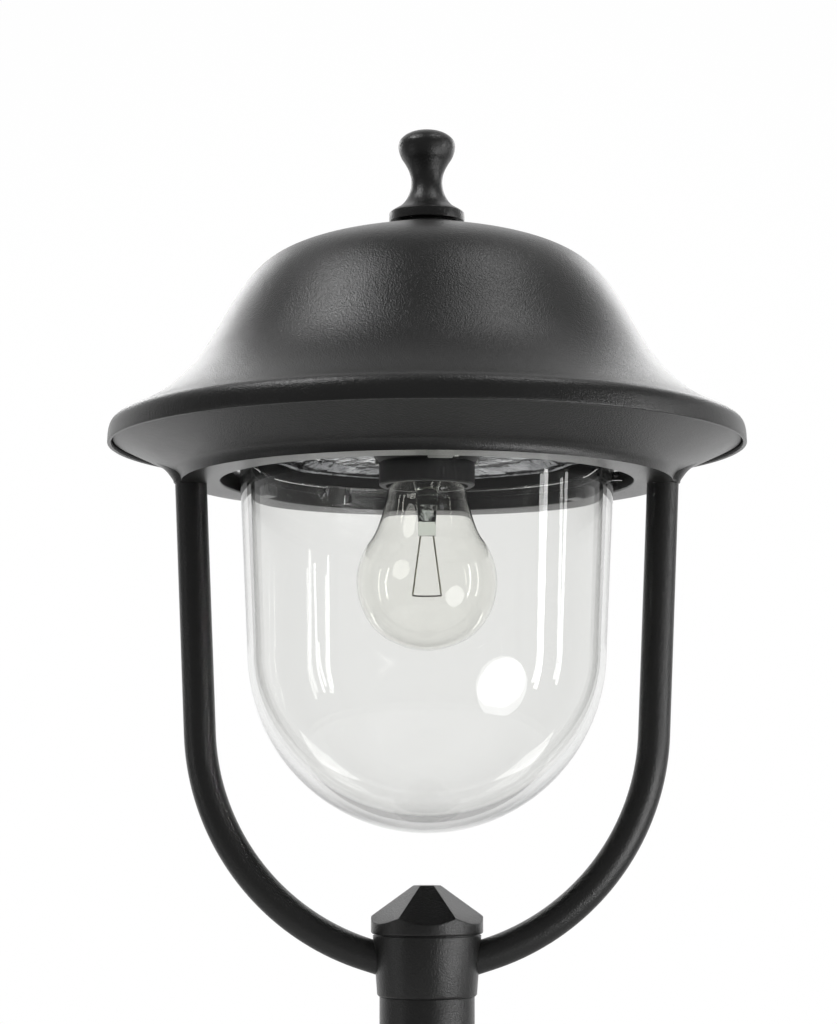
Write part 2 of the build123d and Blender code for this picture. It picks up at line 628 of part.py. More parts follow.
with BuildPart() as bridge_screws:
    for angle in BRIDGE_SCREW_ANGLES:
        with Locations(polar(PLATE_SCREW_CIRCLE, angle, PLATE_TOP + BRIDGE_THICKNESS)):
            add(pan_screw(3.4, 2.4, RING_SCREW_RADIUS - 0.1, 10.0))
save(bridge_screws.part, "bridge_screws")

with BuildPart() as earth_screw:
    with Locations((0, EARTH_SCREW_Y, BRIDGE_TOP + EARTH_TAG_THICKNESS)):
        add(pan_screw(3.8, 2.6, EARTH_SCREW_RADIUS, 8.0))
save(earth_screw.part, "earth_screw")

with BuildPart() as roof_stud:
    with BuildSketch(Plane.XY.offset(STUD_BOTTOM)):
        Circle(STUD_RADIUS)
    extrude(amount=STUD_TOP - STUD_BOTTOM)
    chamfer(roof_stud.edges().filter_by(GeomType.CIRCLE), 0.8)
save(roof_stud.part, "roof_stud")

with BuildPart() as stud_nuts:
    for base in (BRIDGE_TOP - BRIDGE_THICKNESS - NUT_HEIGHT, BRIDGE_TOP):
        with BuildSketch(Plane.XY.offset(base)):
            RegularPolygon(NUT_RADIUS, 6)
            Circle(STUD_RADIUS + 0.05, mode=Mode.SUBTRACT)
        extrude(amount=NUT_HEIGHT)
save(stud_nuts.part, "stud_nuts")

# ---- lampholder ---------------------------------------------------------------------------------
HOLDER_MOUTH_RADIUS = 17.9
HOLDER_BORE_RADIUS = 15.3
HOLDER_BORE_TOP = 328.5
SHELL_WALL = 0.6
SHELL_BOTTOM = 300.0
SHELL_TOP = 323.0

with BuildPart() as lampholder_body:
    with BuildSketch(Plane.XZ):
        with BuildLine():
            Polyline(
                (HOLDER_MOUTH_RADIUS, HOLDER_MOUTH),
                (HOLDER_SKIRT_RADIUS - 0.6, HOLDER_MOUTH),
                (HOLDER_SKIRT_RADIUS, HOLDER_MOUTH + 0.6),
                (HOLDER_SKIRT_RADIUS, HOLDER_FLANGE_BOTTOM - HOLDER_FLANGE_CONE),
                (HOLDER_FLANGE_RADIUS, HOLDER_FLANGE_BOTTOM),
                (HOLDER_FLANGE_RADIUS, PLATE_SEAT - 0.1),
                (HOLDER_BODY_RADIUS, PLATE_SEAT - 0.1),
                (HOLDER_BODY_RADIUS, HOLDER_TOP - 1.5),
                (HOLDER_BODY_RADIUS - 1.5, HOLDER_TOP),
                (0, HOLDER_TOP),
                (0, HOLDER_BORE_TOP),
                (HOLDER_BORE_RADIUS, HOLDER_BORE_TOP),
                (HOLDER_BORE_RADIUS, HOLDER_MOUTH + 6),
                (HOLDER_MOUTH_RADIUS, HOLDER_MOUTH + 4),
                close=True,
            )
        make_face()
    revolve(axis=Axis.Z)
    with BuildSketch(Plane.XY.offset(PLATE_SEAT - 0.1)):
        for angle in HOLDER_SCREW_ANGLES:
            with Locations(polar(HOLDER_SCREW_CIRCLE, angle, 0)):
                Circle(HOLDER_SCREW_RADIUS + SCREW_GAP)
    extrude(amount=-6.0, mode=Mode.SUBTRACT)
    with BuildSketch(Plane.XY.offset(HOLDER_TOP)):
        Rectangle(24, 11)
    extrude(amount=6.0)
save(lampholder_body.part, "lampholder_body")

with BuildPart() as lampholder_shell:
    with BuildSketch(Plane.XZ):
        with BuildLine():
            Polyline(
                (SCREW_SHELL_RADIUS, SHELL_BOTTOM),
                (SCREW_SHELL_RADIUS + 1.2, SHELL_BOTTOM),
                (SCREW_SHELL_RADIUS + 1.2, SHELL_BOTTOM + SHELL_WALL),
                (SCREW_SHELL_RADIUS + SHELL_WALL, SHELL_BOTTOM + SHELL_WALL),
                (SCREW_SHELL_RADIUS + SHELL_WALL, SHELL_TOP),
                (SCREW_SHELL_RADIUS, SHELL_TOP),
                close=True,
            )
        make_face()
    revolve(axis=Axis.Z)
save(lampholder_shell.part, "lampholder_shell")

SPRING_THICKNESS = 0.6
SPRING_WIDTH = 5.0
spring_foot = LAMP_CONTACT_TOP + 0.05
with BuildPart() as lampholder_contact:
    with BuildSketch(Plane.XZ.offset(-SPRING_WIDTH / 2)):
        with BuildLine():
            Polyline(
                (11.0, HOLDER_BORE_TOP),
                (4.0, HOLDER_BORE_TOP),
                (-3.0, spring_foot + SPRING_THICKNESS),
                (-5.4, spring_foot + 1.2 + SPRING_THICKNESS),
                (-5.4, spring_foot + 1.2),
                (-3.0, spring_foot),
                (4.2, HOLDER_BORE_TOP - SPRING_THICKNESS),
                (11.0, HOLDER_BORE_TOP - SPRING_THICKNESS),
                close=True,
            )
        make_face()
    extrude(amount=SPRING_WIDTH)
save(lampholder_contact.part, "lampholder_contact")

with BuildPart() as lampholder_screws:
    for angle in HOLDER_SCREW_ANGLES:
        with Locations(polar(HOLDER_SCREW_CIRCLE, angle, PLATE_TOP)):
            add(pan_screw(1.9, 1.6, HOLDER_SCREW_RADIUS, 5.5))
save(lampholder_screws.part, "lampholder_screws")

# ---- lamp ---------------------------------------------------------------------------------------
NECK_JOIN_HEIGHT = 269.3
NECK_CURVE = [(14.6, 294.2), (16.5, 291.8), (17.6, 287.5), (20.0, 278.2)]
NECK_TOP_RADIUS = 12.2
NECK_SHOULDER = 296.5


def lamp_section(inset):
    """Half section of the lamp's glass, drawn inwards by an inset: a neck that flows into a ball."""
    ball = LAMP_RADIUS - inset
    join_height = LAMP_CENTRE + (NECK_JOIN_HEIGHT - LAMP_CENTRE) * ball / LAMP_RADIUS
    join_radius = (ball**2 - (join_height - LAMP_CENTRE) ** 2) ** 0.5
    tangent = (join_height - LAMP_CENTRE, -join_radius)
    with BuildSketch(Plane.XZ) as section:
        with BuildLine():
            Line((0, LAMP_NECK_TOP), (NECK_TOP_RADIUS - inset, LAMP_NECK_TOP))
            Line((NECK_TOP_RADIUS - inset, LAMP_NECK_TOP), (NECK_TOP_RADIUS - inset, NECK_SHOULDER))
            Spline(
                (NECK_TOP_RADIUS - inset, NECK_SHOULDER),
                *[(radius - inset, height) for radius, height in NECK_CURVE],
                (join_radius, join_height),
                tangents=((1, -0.6), tangent),
            )
            ThreePointArc(
                (join_radius, join_height),
                (ball * cos(radians(-30)), LAMP_CENTRE + ball * sin(radians(-30))),
                (0, LAMP_CENTRE - ball),
            )
            Line((0, LAMP_CENTRE - ball), (0, LAMP_NECK_TOP))
        make_face()
    return section.sketch


outer_glass = lamp_section(0)
inner_glass = lamp_section(GLASS_WALL)
with BuildPart() as lamp_glass:
    add(outer_glass)
    revolve(axis=Axis.Z)
    add(inner_glass)
    revolve(axis=Axis.Z, mode=Mode.SUBTRACT)
save(lamp_glass.part, "lamp_glass")

CAP_SHELL_WALL = 0.5
CAP_SKIRT_BOTTOM = 296.9
CAP_SKIRT_RADIUS = 14.4
CAP_SHELL_TOP = 321.5
with BuildPart() as lamp_cap:
    with BuildSketch(Plane.XZ):
        with BuildLine():
            Polyline(
                (NECK_TOP_RADIUS + 0.1, CAP_SKIRT_BOTTOM),
                (CAP_SKIRT_RADIUS, CAP_SKIRT_BOTTOM),
                (CAP_SKIRT_RADIUS, CAP_SKIRT_BOTTOM + CAP_SHELL_WALL),
                (LAMP_THREAD_RADIUS, CAP_SKIRT_BOTTOM + 2.0),
                (LAMP_THREAD_RADIUS, CAP_SHELL_TOP - 2),
                (LAMP_THREAD_RADIUS - 1.5, CAP_SHELL_TOP),
                (10.0, CAP_SHELL_TOP),
                (10.0, CAP_SHELL_TOP - CAP_SHELL_WALL),
                (NECK_TOP_RADIUS + 0.1, CAP_SHELL_TOP - 2.5),
                close=True,
            )
        make_face()
    revolve(axis=Axis.Z)
save(lamp_cap.part, "lamp_cap")

with BuildPart() as lamp_insulator:
    with BuildSketch(Plane.XZ):
        with BuildLine():
            Polyline(
                (0, CAP_SHELL_TOP),
                (11.0, CAP_SHELL_TOP),
                (6.0, 324.6),
                (0, 324.6),
                close=True,
            )
        make_face()
    revolve(axis=Axis.Z)
save(lamp_insulator.part, "lamp_insulator")

with BuildPart() as lamp_contact:
    with BuildSketch(Plane.XY.offset(324.6)):
        Circle(4.8)
    extrude(amount=LAMP_CONTACT_TOP - 324.6)
    chamfer(lamp_contact.faces().sort_by(Axis.Z)[-1].edges(), 0.5)
save(lamp_contact.part, "lamp_contact")

STEM_TOP = 299.0
PRESS_TOP = 284.0
PRESS_BOTTOM = 271.0
with BuildPart() as lamp_stem:
    with BuildSketch(Plane.XZ):
        with BuildLine():
            stem_side = Spline((11.0, STEM_TOP), (6.2, 294.0), (4.6, PRESS_TOP), tangents=((-1, -0.4), (0, -1)))
            Polyline((4.6, PRESS_TOP), (0, PRESS_TOP), (0, 296.5), (9.0, STEM_TOP), (11.0, STEM_TOP))
        make_face()
    revolve(axis=Axis.Z)
    with BuildSketch(Plane.XY.offset(PRESS_TOP)):
        Circle(4.6)
    with BuildSketch(Plane.XY.offset(PRESS_BOTTOM + 6)):
        RectangleRounded(7.6, 3.6, 1.2)
    loft()
    with BuildSketch(Plane.XY.offset(PRESS_BOTTOM)):
        RectangleRounded(7.6, 3.6, 1.2)
    extrude(amount=6)
save(lamp_stem.part, "lamp_stem")

LEAD_RADIUS = 0.4
FILAMENT_HEIGHT = 245.6
FILAMENT_HALF = 6.1
LEAD_TOP_X = 2.8
LEAD_GAP = 0.1
with BuildPart() as lamp_leads:
    for side in (-1, 1):
        top = Vector(side * LEAD_TOP_X, 0, PRESS_BOTTOM - LEAD_GAP)
        foot = Vector(side * FILAMENT_HALF, 0, FILAMENT_HEIGHT)
        with BuildSketch(Plane(origin=top, z_dir=foot - top)):
            Circle(LEAD_RADIUS)
        extrude(amount=(foot - top).length)
save(lamp_leads.part, "lamp_leads")

with BuildPart() as lamp_filament:
    with BuildLine() as coil_line:
        ThreePointArc(
            (-FILAMENT_HALF, 0, FILAMENT_HEIGHT - 0.4),
            (0, -3.6, FILAMENT_HEIGHT - 1.0),
            (FILAMENT_HALF, 0, FILAMENT_HEIGHT - 0.4),
        )
    with BuildSketch(Plane(origin=coil_line.line @ 0, z_dir=coil_line.line % 0)):
        Circle(0.35)
    sweep(path=coil_line.line)
save(lamp_filament.part, "lamp_filament")

# ---- wiring inside the roof ---------------------------------------------------------------------
BLOCK_X = -58.0
BLOCK_POLES = 3
BLOCK_PITCH = 10.0
BLOCK_HEIGHT = 14.0
BLOCK_BASE = PLATE_TOP + PLATE_BEAD_RISE + 0.1

with BuildPart() as terminal_block:
    with BuildSketch(Plane.XY.offset(BLOCK_BASE)):
        with Locations((BLOCK_X, 0)):
            Rectangle(18, BLOCK_POLES * BLOCK_PITCH + 6)
    extrude(amount=5)
    with BuildSketch(Plane.XY.offset(BLOCK_BASE + 5)):
        with Locations((BLOCK_X, 0)):
            with GridLocations(0, BLOCK_PITCH, 1, BLOCK_POLES):
                RectangleRounded(16, BLOCK_PITCH - 1.5, 2)
    extrude(amount=BLOCK_HEIGHT - 5)
    with BuildSketch(Plane.XY.offset(BLOCK_BASE + BLOCK_HEIGHT)):
        with Locations((BLOCK_X, 0)):
            with GridLocations(8, BLOCK_PITCH, 2, BLOCK_POLES):
                Circle(1.9)
    extrude(amount=-5, mode=Mode.SUBTRACT)
save(terminal_block.part, "terminal_block")

with BuildPart() as terminal_screws:
    with Locations((BLOCK_X, 0, BLOCK_BASE + BLOCK_HEIGHT - 1.5)):
        with GridLocations(8, BLOCK_PITCH, 2, BLOCK_POLES):
            Cylinder(1.8, 3.4, align=(Align.CENTER, Align.CENTER, Align.MAX))
    with Locations((BLOCK_X, 0, BLOCK_BASE + BLOCK_HEIGHT - 1.5)):
        with GridLocations(8, BLOCK_PITCH, 2, BLOCK_POLES):
            Box(2.6, 0.6, 1.0, align=(Align.CENTER, Align.CENTER, Align.MAX), mode=Mode.SUBTRACT)
save(terminal_screws.part, "terminal_screws")

WIRE_RADIUS = 1.3
WIRE_BEND = 6.0
with BuildPart() as lampholder_leads:
    for side in (-1, 1):
        y_block = side * BLOCK_PITCH
        block_face = (BLOCK_X + 9.05, y_block, BLOCK_BASE + 2.5)
        with BuildLine() as wire_route:
            FilletPolyline(
                block_face,
                (BLOCK_X + 24, y_block, BLOCK_BASE + 2.5),
                (BLOCK_X + 30, side * 3.0, HOLDER_TOP + 3.0),
                (-12.05, side * 3.0, HOLDER_TOP + 3.0),
                radius=WIRE_BEND,
            )
        with BuildSketch(Plane(origin=wire_route.line @ 0, z_dir=wire_route.line % 0)):
            Circle(WIRE_RADIUS)
        sweep(path=wire_route.line)
save(lampholder_leads.part, "lampholder_leads")

# The earth lead leaves the block's middle pole, rises beside the bridge and ends in a crimped tag
EARTH_TAG_RADIUS = 4.6
EARTH_TAG_NECK = 5.0
EARTH_CRIMP = 0.4
EARTH_BEND = 4.0
EARTH_RISER_X = -12.2
earth_wire_height = BRIDGE_TOP + EARTH_TAG_THICKNESS + WIRE_RADIUS - EARTH_CRIMP
with BuildPart() as earth_lead:
    with BuildLine() as earth_route:
        FilletPolyline(
            (BLOCK_X + 9.05, 0, BLOCK_BASE + 2.5),
            (BLOCK_X + 19, 0, BLOCK_BASE + 2.5),
            (BLOCK_X + 21, 8, HOLDER_TOP),
            (EARTH_RISER_X, 14, HOLDER_TOP + 5.5),
            (EARTH_RISER_X, EARTH_SCREW_Y, earth_wire_height),
            (-EARTH_TAG_RADIUS - 0.5, EARTH_SCREW_Y, earth_wire_height),
            radius=EARTH_BEND,
        )
    with BuildSketch(Plane(origin=earth_route.line @ 0, z_dir=earth_route.line % 0)):
        Circle(WIRE_RADIUS)
    sweep(path=earth_route.line)
    with BuildSketch(Plane.XY.offset(BRIDGE_TOP)):
        with Locations((0, EARTH_SCREW_Y)):
            Circle(EARTH_TAG_RADIUS)
        with Locations((-EARTH_TAG_RADIUS - 1, EARTH_SCREW_Y)):
            Rectangle(EARTH_TAG_NECK, 2 * WIRE_RADIUS)
        with Locations((0, EARTH_SCREW_Y)):
            Circle(EARTH_SCREW_RADIUS + 0.1, mode=Mode.SUBTRACT)
    extrude(amount=EARTH_TAG_THICKNESS)
save(earth_lead.part, "earth_lead")
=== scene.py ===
"""Looks of the post top lantern: fine surfaces, finishes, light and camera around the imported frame."""

import logging
from dataclasses import dataclass
from enum import Enum
from math import asin, cos, degrees, pi, radians, sin, tan
from typing import Sequence

import bpy
import numpy as np
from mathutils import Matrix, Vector


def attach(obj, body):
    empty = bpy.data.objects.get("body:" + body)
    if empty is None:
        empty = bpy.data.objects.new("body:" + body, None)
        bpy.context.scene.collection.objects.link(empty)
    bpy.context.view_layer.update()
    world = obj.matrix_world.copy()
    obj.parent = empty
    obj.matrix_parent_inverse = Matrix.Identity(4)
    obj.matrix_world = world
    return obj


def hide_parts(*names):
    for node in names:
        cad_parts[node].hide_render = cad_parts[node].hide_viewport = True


logging.basicConfig(level=logging.INFO, format="%(levelname)s %(message)s")
log = logging.getLogger("lantern")

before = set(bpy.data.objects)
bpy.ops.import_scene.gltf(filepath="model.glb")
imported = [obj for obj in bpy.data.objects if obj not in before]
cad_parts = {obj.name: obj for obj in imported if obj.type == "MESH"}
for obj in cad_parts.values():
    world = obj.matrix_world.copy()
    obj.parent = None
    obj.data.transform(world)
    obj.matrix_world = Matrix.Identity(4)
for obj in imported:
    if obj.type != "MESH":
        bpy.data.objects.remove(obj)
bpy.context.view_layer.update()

MM = 0.001
Point = tuple[float, float]


class Body(Enum):
    """The frame's rigid bodies that a piece can ride on."""

    HEAD = "post_and_ring"
    ROOF = "roof"
    FINIAL = "finial"
    BOWL = "bowl"
    LAMP = "lamp"


# ---- curves -------------------------------------------------------------------------------------
def spline(points: Sequence[Point], start: Point, end: Point, samples: int) -> np.ndarray:
    """Smooth cubic through points with the directions of both ends held.

    Each span is a cubic in the chord length. The slopes at the points are chosen so that the bend
    runs on evenly from span to span, which is one set of linear equations.

    Args:
        points: The points to pass through.
        start: Direction at the first point.
        end: Direction at the last point.
        samples: Number of points along the result.

    Returns:
        An array of samples by 2.
    """
    knots = np.array(points, float)
    step = np.linalg.norm(np.diff(knots, axis=0), axis=1)
    when = np.concatenate([[0.0], np.cumsum(step)])
    count = len(knots)
    system = np.eye(count)
    target = np.zeros((count, 2))
    target[0] = np.array(start) / np.linalg.norm(start)
    target[-1] = np.array(end) / np.linalg.norm(end)
    inner = np.arange(1, count - 1)
    before, after = step[:-1], step[1:]
    system[inner, inner - 1] = after
    system[inner, inner] = 2 * (before + after)
    system[inner, inner + 1] = before
    rise = np.diff(knots, axis=0) / step[:, None]
    target[1:-1] = 3 * (after[:, None] * rise[:-1] + before[:, None] * rise[1:])
    slope = np.linalg.solve(system, target)
    at = np.linspace(0, when[-1], samples)
    span = np.clip(np.searchsorted(when, at, side="right") - 1, 0, count - 2)
    width = step[span][:, None]
    part = ((at - when[span]) / step[span])[:, None]
    return (
        (2 * part**3 - 3 * part**2 + 1) * knots[span]
        + (part**3 - 2 * part**2 + part) * width * slope[span]
        + (3 * part**2 - 2 * part**3) * knots[span + 1]
        + (part**3 - part**2) * width * slope[span + 1]
    )


def arc(centre: Point, size: Point, start: float, end: float, samples: int) -> np.ndarray:
    """Arc of an ellipse: centre plus size times the cosine and sine of an even run of angles."""
    turn = np.radians(np.linspace(start, end, samples))
    return np.stack([centre[0] + size[0] * np.cos(turn), centre[1] + size[1] * np.sin(turn)], axis=1)


def softened(outline: Sequence[Point], radius: float, steps: int = 3) -> np.ndarray:
    """Open outline whose corners are rounded off.

    Each corner gives way to the curve (1-t)^2 a + 2t(1-t) c + t^2 b between a point a before the
    corner c and a point b after it, both a radius away or a third of the side if that is less.

    Args:
        outline: Corner points in order.
        radius: Distance from each corner at which its curve begins.
        steps: Spans of each corner's curve.

    Returns:
        The rounded outline as an array.
    """
    line = np.array(outline, float)
    corner = line[1:-1]
    to_prev, to_next = line[:-2] - corner, line[2:] - corner
    long_prev = np.linalg.norm(to_prev, axis=1, keepdims=True)
    long_next = np.linalg.norm(to_next, axis=1, keepdims=True)
    ease_in = corner + to_prev / long_prev * np.minimum(radius, long_prev / 3)
    ease_out = corner + to_next / long_next * np.minimum(radius, long_next / 3)
    t = np.linspace(0, 1, steps + 1)[None, :, None]
    bend = (1 - t) ** 2 * ease_in[:, None] + 2 * t * (1 - t) * corner[:, None] + t**2 * ease_out[:, None]
    return np.concatenate([line[:1], bend.reshape(-1, 2), line[-1:]])


def offset(line: np.ndarray, amount: float) -> np.ndarray:
    """Line moved sideways: each point goes along the left-hand normal of the line there."""
    along = np.gradient(line, axis=0)
    along /= np.linalg.norm(along, axis=1, keepdims=True)
    return line + amount * np.stack([-along[:, 1], along[:, 0]], axis=1)


def near(angle: np.ndarray, centres: Sequence[float], half: float) -> np.ndarray:
    """True where an angle lies within half a width of any centre, in degrees."""
    gap = np.abs((angle[:, None] - np.array(centres) + 180) % 360 - 180)
    return gap.min(axis=1) <= half + 1e-6


def hand(side: int) -> str:
    """Name of a side: right for 1 and left for -1."""
    return "right" if side > 0 else "left"


# ---- surfaces -----------------------------------------------------------------------------------
def skin(name: str, grid: np.ndarray, around_rows: bool, crease: float = 32.0) -> bpy.types.Object:
    """Mesh over a grid of points, each cell of the grid one face.

    A row whose points all meet is a pole and becomes one vertex. The faces are turned outwards by the
    sign of the enclosed volume, the sum of a . (b x c) / 6 over the triangles.

    Args:
        name: Name of the new object.
        grid: Points in millimetres, rows by columns by 3, the last column joined to the first.
        around_rows: Whether the last row joins the first too.
        crease: Edges that fold by more than this many degrees stay sharp.

    Returns:
        The new object, at the origin.
    """
    rows, cols = grid.shape[:2]
    index = np.arange(rows * cols).reshape(rows, cols)
    pole = np.ptp(grid, axis=1).max(axis=1) < 1e-7
    index[pole] = index[pole][:, :1]
    if around_rows:
        index = np.concatenate([index, index[:1]])
    index = np.concatenate([index, index[:, :1]], axis=1)
    corners = [index[:-1, :-1], index[:-1, 1:], index[1:, 1:], index[1:, :-1]]
    quads = np.stack(corners, axis=-1).reshape(-1, 4)
    top_pole, low_pole = quads[:, 0] == quads[:, 1], quads[:, 2] == quads[:, 3]
    full = quads[~top_pole & ~low_pole]
    thirds = np.concatenate([
        quads[top_pole & ~low_pole][:, [0, 2, 3]],
        quads[low_pole & ~top_pole][:, [0, 1, 2]],
    ])
    used, flat = np.unique(np.concatenate([full.ravel(), thirds.ravel()]), return_inverse=True)
    full = flat[: full.size].reshape(-1, 4)
    thirds = flat[full.size:].reshape(-1, 3)
    spots = grid.reshape(-1, 3)[used] * MM
    triangles = np.concatenate([full[:, [0, 1, 2]], full[:, [0, 2, 3]], thirds])
    a, b, c = (spots[triangles[:, k]] for k in range(3))
    if np.einsum("ij,ij->i", a, np.cross(b, c)).sum() < 0:
        full, thirds = full[:, ::-1], thirds[:, ::-1]
    loops = np.concatenate([full.ravel(), thirds.ravel()]).astype(np.int32)
    starts = np.concatenate([4 * np.arange(len(full)), full.size + 3 * np.arange(len(thirds))])
    mesh = bpy.data.meshes.new(name)
    mesh.vertices.add(len(spots))
    mesh.vertices.foreach_set("co", spots.astype(np.float32).ravel())
    mesh.loops.add(len(loops))
    mesh.loops.foreach_set("vertex_index", loops)
    mesh.polygons.add(len(starts))
    mesh.polygons.foreach_set("loop_start", starts.astype(np.int32))
    mesh.polygons.foreach_set("use_smooth", np.ones(len(starts), bool))
    mesh.update(calc_edges=True)
    mesh.validate()
    mesh.set_sharp_from_angle(angle=radians(crease))
    piece = bpy.data.objects.new(name, mesh)
    bpy.context.scene.collection.objects.link(piece)
    return piece


def turned_grid(profile: np.ndarray, steps: int, centre: Point = (0.0, 0.0)) -> np.ndarray:
    """Profile of radius and height carried round an upright axis: (r cos a, r sin a, z)."""
    angle = np.linspace(0, 2 * pi, steps, endpoint=False)
    radius, height = profile[:, :1], profile[:, 1:]
    return np.stack(
        [
            centre[0] + radius * np.cos(angle),
            centre[1] + radius * np.sin(angle),
            height + 0 * angle,
        ],
        axis=-1,
    )


def turned(
    name: str, profile: np.ndarray, steps: int, hollow: bool = False, crease: float = 32.0
) -> bpy.types.Object:
    """Turned piece: the profile of radius and height spun about the lantern's axis.

    Args:
        name: Name of the piece.
        profile: Points of radius and height in millimetres.
        steps: Faces round the axis.
        hollow: Whether the profile is a closed loop off the axis.
        crease: Fold in degrees above which an edge stays sharp.

    Returns:
        The new object.
    """
    return skin(name, turned_grid(profile, steps), around_rows=hollow, crease=crease)


def swept(name: str, path: np.ndarray, radius: float, steps: int) -> bpy.types.Object:
    """Round bar along a path in the XZ plane.

    At each point of the path the ring is p + r (n cos a + y sin a), where n is square to the path in
    its plane and y is the Y axis. Both ends close on their centres.

    Args:
        name: Name of the piece.
        path: Points of X and Z in millimetres.
        radius: Radius of the bar.
        steps: Faces round the bar.

    Returns:
        The new object.
    """
    along = np.gradient(path, axis=0)
    along /= np.linalg.norm(along, axis=1, keepdims=True)
    angle = np.linspace(0, 2 * pi, steps, endpoint=False)
    side = radius * np.cos(angle)
    ring = np.stack(
        [
            path[:, :1] - along[:, 1:] * side,
            np.broadcast_to(radius * np.sin(angle), (len(path), steps)),
            path[:, 1:] + along[:, :1] * side,
        ],
        axis=-1,
    )
    caps = [np.broadcast_to([path[k, 0], 0.0, path[k, 1]], (1, steps, 3)) for k in (0, -1)]
    return skin(name, np.concatenate([caps[0], ring, caps[1]]), around_rows=False)


# ---- shader maths -------------------------------------------------------------------------------
class Signal:
    """A shader value that takes part in ordinary maths: each operator adds one Math node."""

    def __init__(self, shader: "Shader", socket: bpy.types.NodeSocket) -> None:
        """Wrap one output socket of a shader."""
        self.shader = shader
        self.socket = socket

    def _math(self, operation: str, *values: "Signal | float") -> "Signal":
        """Add a Math node over this signal's shader and return its result."""
        return self.shader.node("ShaderNodeMath", {"operation": operation}, dict(enumerate(values)))

    def __add__(self, other: "Signal | float") -> "Signal":
        """Sum."""
        return self._math("ADD", self, other)

    def __mul__(self, other: "Signal | float") -> "Signal":
        """Product."""
        return self._math("MULTIPLY", self, other)

    def sine(self) -> "Signal":
        """Sine of the value in radians."""
        return self._math("SINE", self)

    def clamp(self) -> "Signal":
        """Held between 0 and 1."""
        return self.shader.node("ShaderNodeClamp", {}, {"Value": self})

    def ramp(self, low: float, high: float) -> "Signal":
        """0 below low, 1 above high and a smooth step between."""
        return self.shader.node(
            "ShaderNodeMapRange",
            {"interpolation_type": "SMOOTHSTEP"},
            {"Value": self, "From Min": low, "From Max": high},
        )


class Shader:
    """One material, built node by node."""

    def __init__(self, name: str) -> None:
        """Start an empty material with an output and a principled surface."""
        self.material = bpy.data.materials.new(name)
        self.material.use_nodes = True
        self.tree = self.material.node_tree
        self.tree.nodes.clear()
        self.output = self.tree.nodes.new("ShaderNodeOutputMaterial")
        self.surface = self.tree.nodes.new("ShaderNodeBsdfPrincipled")
        self.tree.links.new(self.surface.outputs[0], self.output.inputs["Surface"])
        self.place = self.node("ShaderNodeTexCoord", {}, {}, "Object")

    def node(self, kind: str, settings: dict, values: dict, result: str | int = 0) -> Signal:
        """Add one node.

        Args:
            kind: The node's type.
            settings: Its own properties, set first.
            values: Numbers, colours or signals for its inputs, by name or position.
            result: The output to return.

        Returns:
            The chosen output as a signal.
        """
        made = self.tree.nodes.new(kind)
        for key, value in settings.items():
            setattr(made, key, value)
        self.feed(made, values)
        return Signal(self, made.outputs[result])

    def feed(self, made: bpy.types.Node, values: dict) -> None:
        """Link or set a node's inputs by name or position."""
        for key, value in values.items():
            if isinstance(value, Signal):
                self.tree.links.new(value.socket, made.inputs[key])
            else:
                made.inputs[key].default_value = value

    def axis(self, name: str) -> Signal:
        """One coordinate of the piece's own space, in metres."""
        return self.node("ShaderNodeSeparateXYZ", {}, {0: self.place}, name)

    def noise(
        self, scale: float, detail: float = 3.0, rough: float = 0.5, stretch: Sequence[float] = (1, 1, 1)
    ) -> Signal:
        """Noise over the piece's own coordinates, scale per metre, optionally stretched."""
        place = self.place
        if tuple(stretch) != (1, 1, 1):
            place = self.node("ShaderNodeMapping", {}, {"Vector": place, "Scale": tuple(stretch)})
        values = {"Vector": place, "Scale": scale, "Detail": detail, "Roughness": rough}
        return self.node("ShaderNodeTexNoise", {}, values)

    def blend(self, factor: Signal, first: Sequence[float] | Signal, second: Sequence[float]) -> Signal:
        """Mix of two colours by a factor; the first can be a signal."""
        start = first if isinstance(first, Signal) else (*first, 1.0)
        return self.node("ShaderNodeMix", {"data_type": "RGBA"}, {0: factor, 6: start, 7: (*second, 1.0)}, 2)

    def bump(self, height: Signal, strength: float, distance: float) -> None:
        """Raise the surface's grain by a height signal."""
        values = {"Height": height, "Strength": strength, "Distance": distance}
        grain = self.node("ShaderNodeBump", {}, values)
        self.feed(self.surface, {"Normal": grain})

    def set(self, **values: "Signal | float | Sequence[float]") -> None:
        """Set the surface's inputs; underscores in a name stand for spaces."""
        self.feed(self.surface, {key.replace("_", " "): value for key, value in values.items()})


# ---- finishes -----------------------------------------------------------------------------------
@dataclass(frozen=True)
class PowderCoat:
    """Satin black powder coat with a fine orange-peel grain."""

    name: str = "powder_coat"
    colour: Sequence[float] = (0.0084, 0.0084, 0.0081)
    worn: Sequence[float] = (0.0165, 0.0165, 0.016)
    roughness: float = 0.28
    grain: float = 1400.0
    depth: float = 0.0003

    def build(self) -> bpy.types.Material:
        """Make the material: a soft mottle in colour and gloss over a fine even grain."""
        shader = Shader(self.name)
        cloud = shader.noise(28.0, 4.0, 0.6)
        fine = shader.noise(self.grain, 2.0, 0.55)
        peel = shader.noise(self.grain / 3.2, 2.0, 0.5)
        speck = shader.noise(self.grain * 0.7, 1.0).ramp(0.62, 0.74)
        shader.set(
            Base_Color=shader.blend((cloud * 0.7 + speck * 0.5).clamp(), self.colour, self.worn),
            Roughness=cloud * 0.1 + (self.roughness - 0.05) + fine * 0.05,
            IOR=1.56,
        )
        shader.bump(fine * 0.75 + peel * 0.25, 0.9, self.depth)
        return shader.material


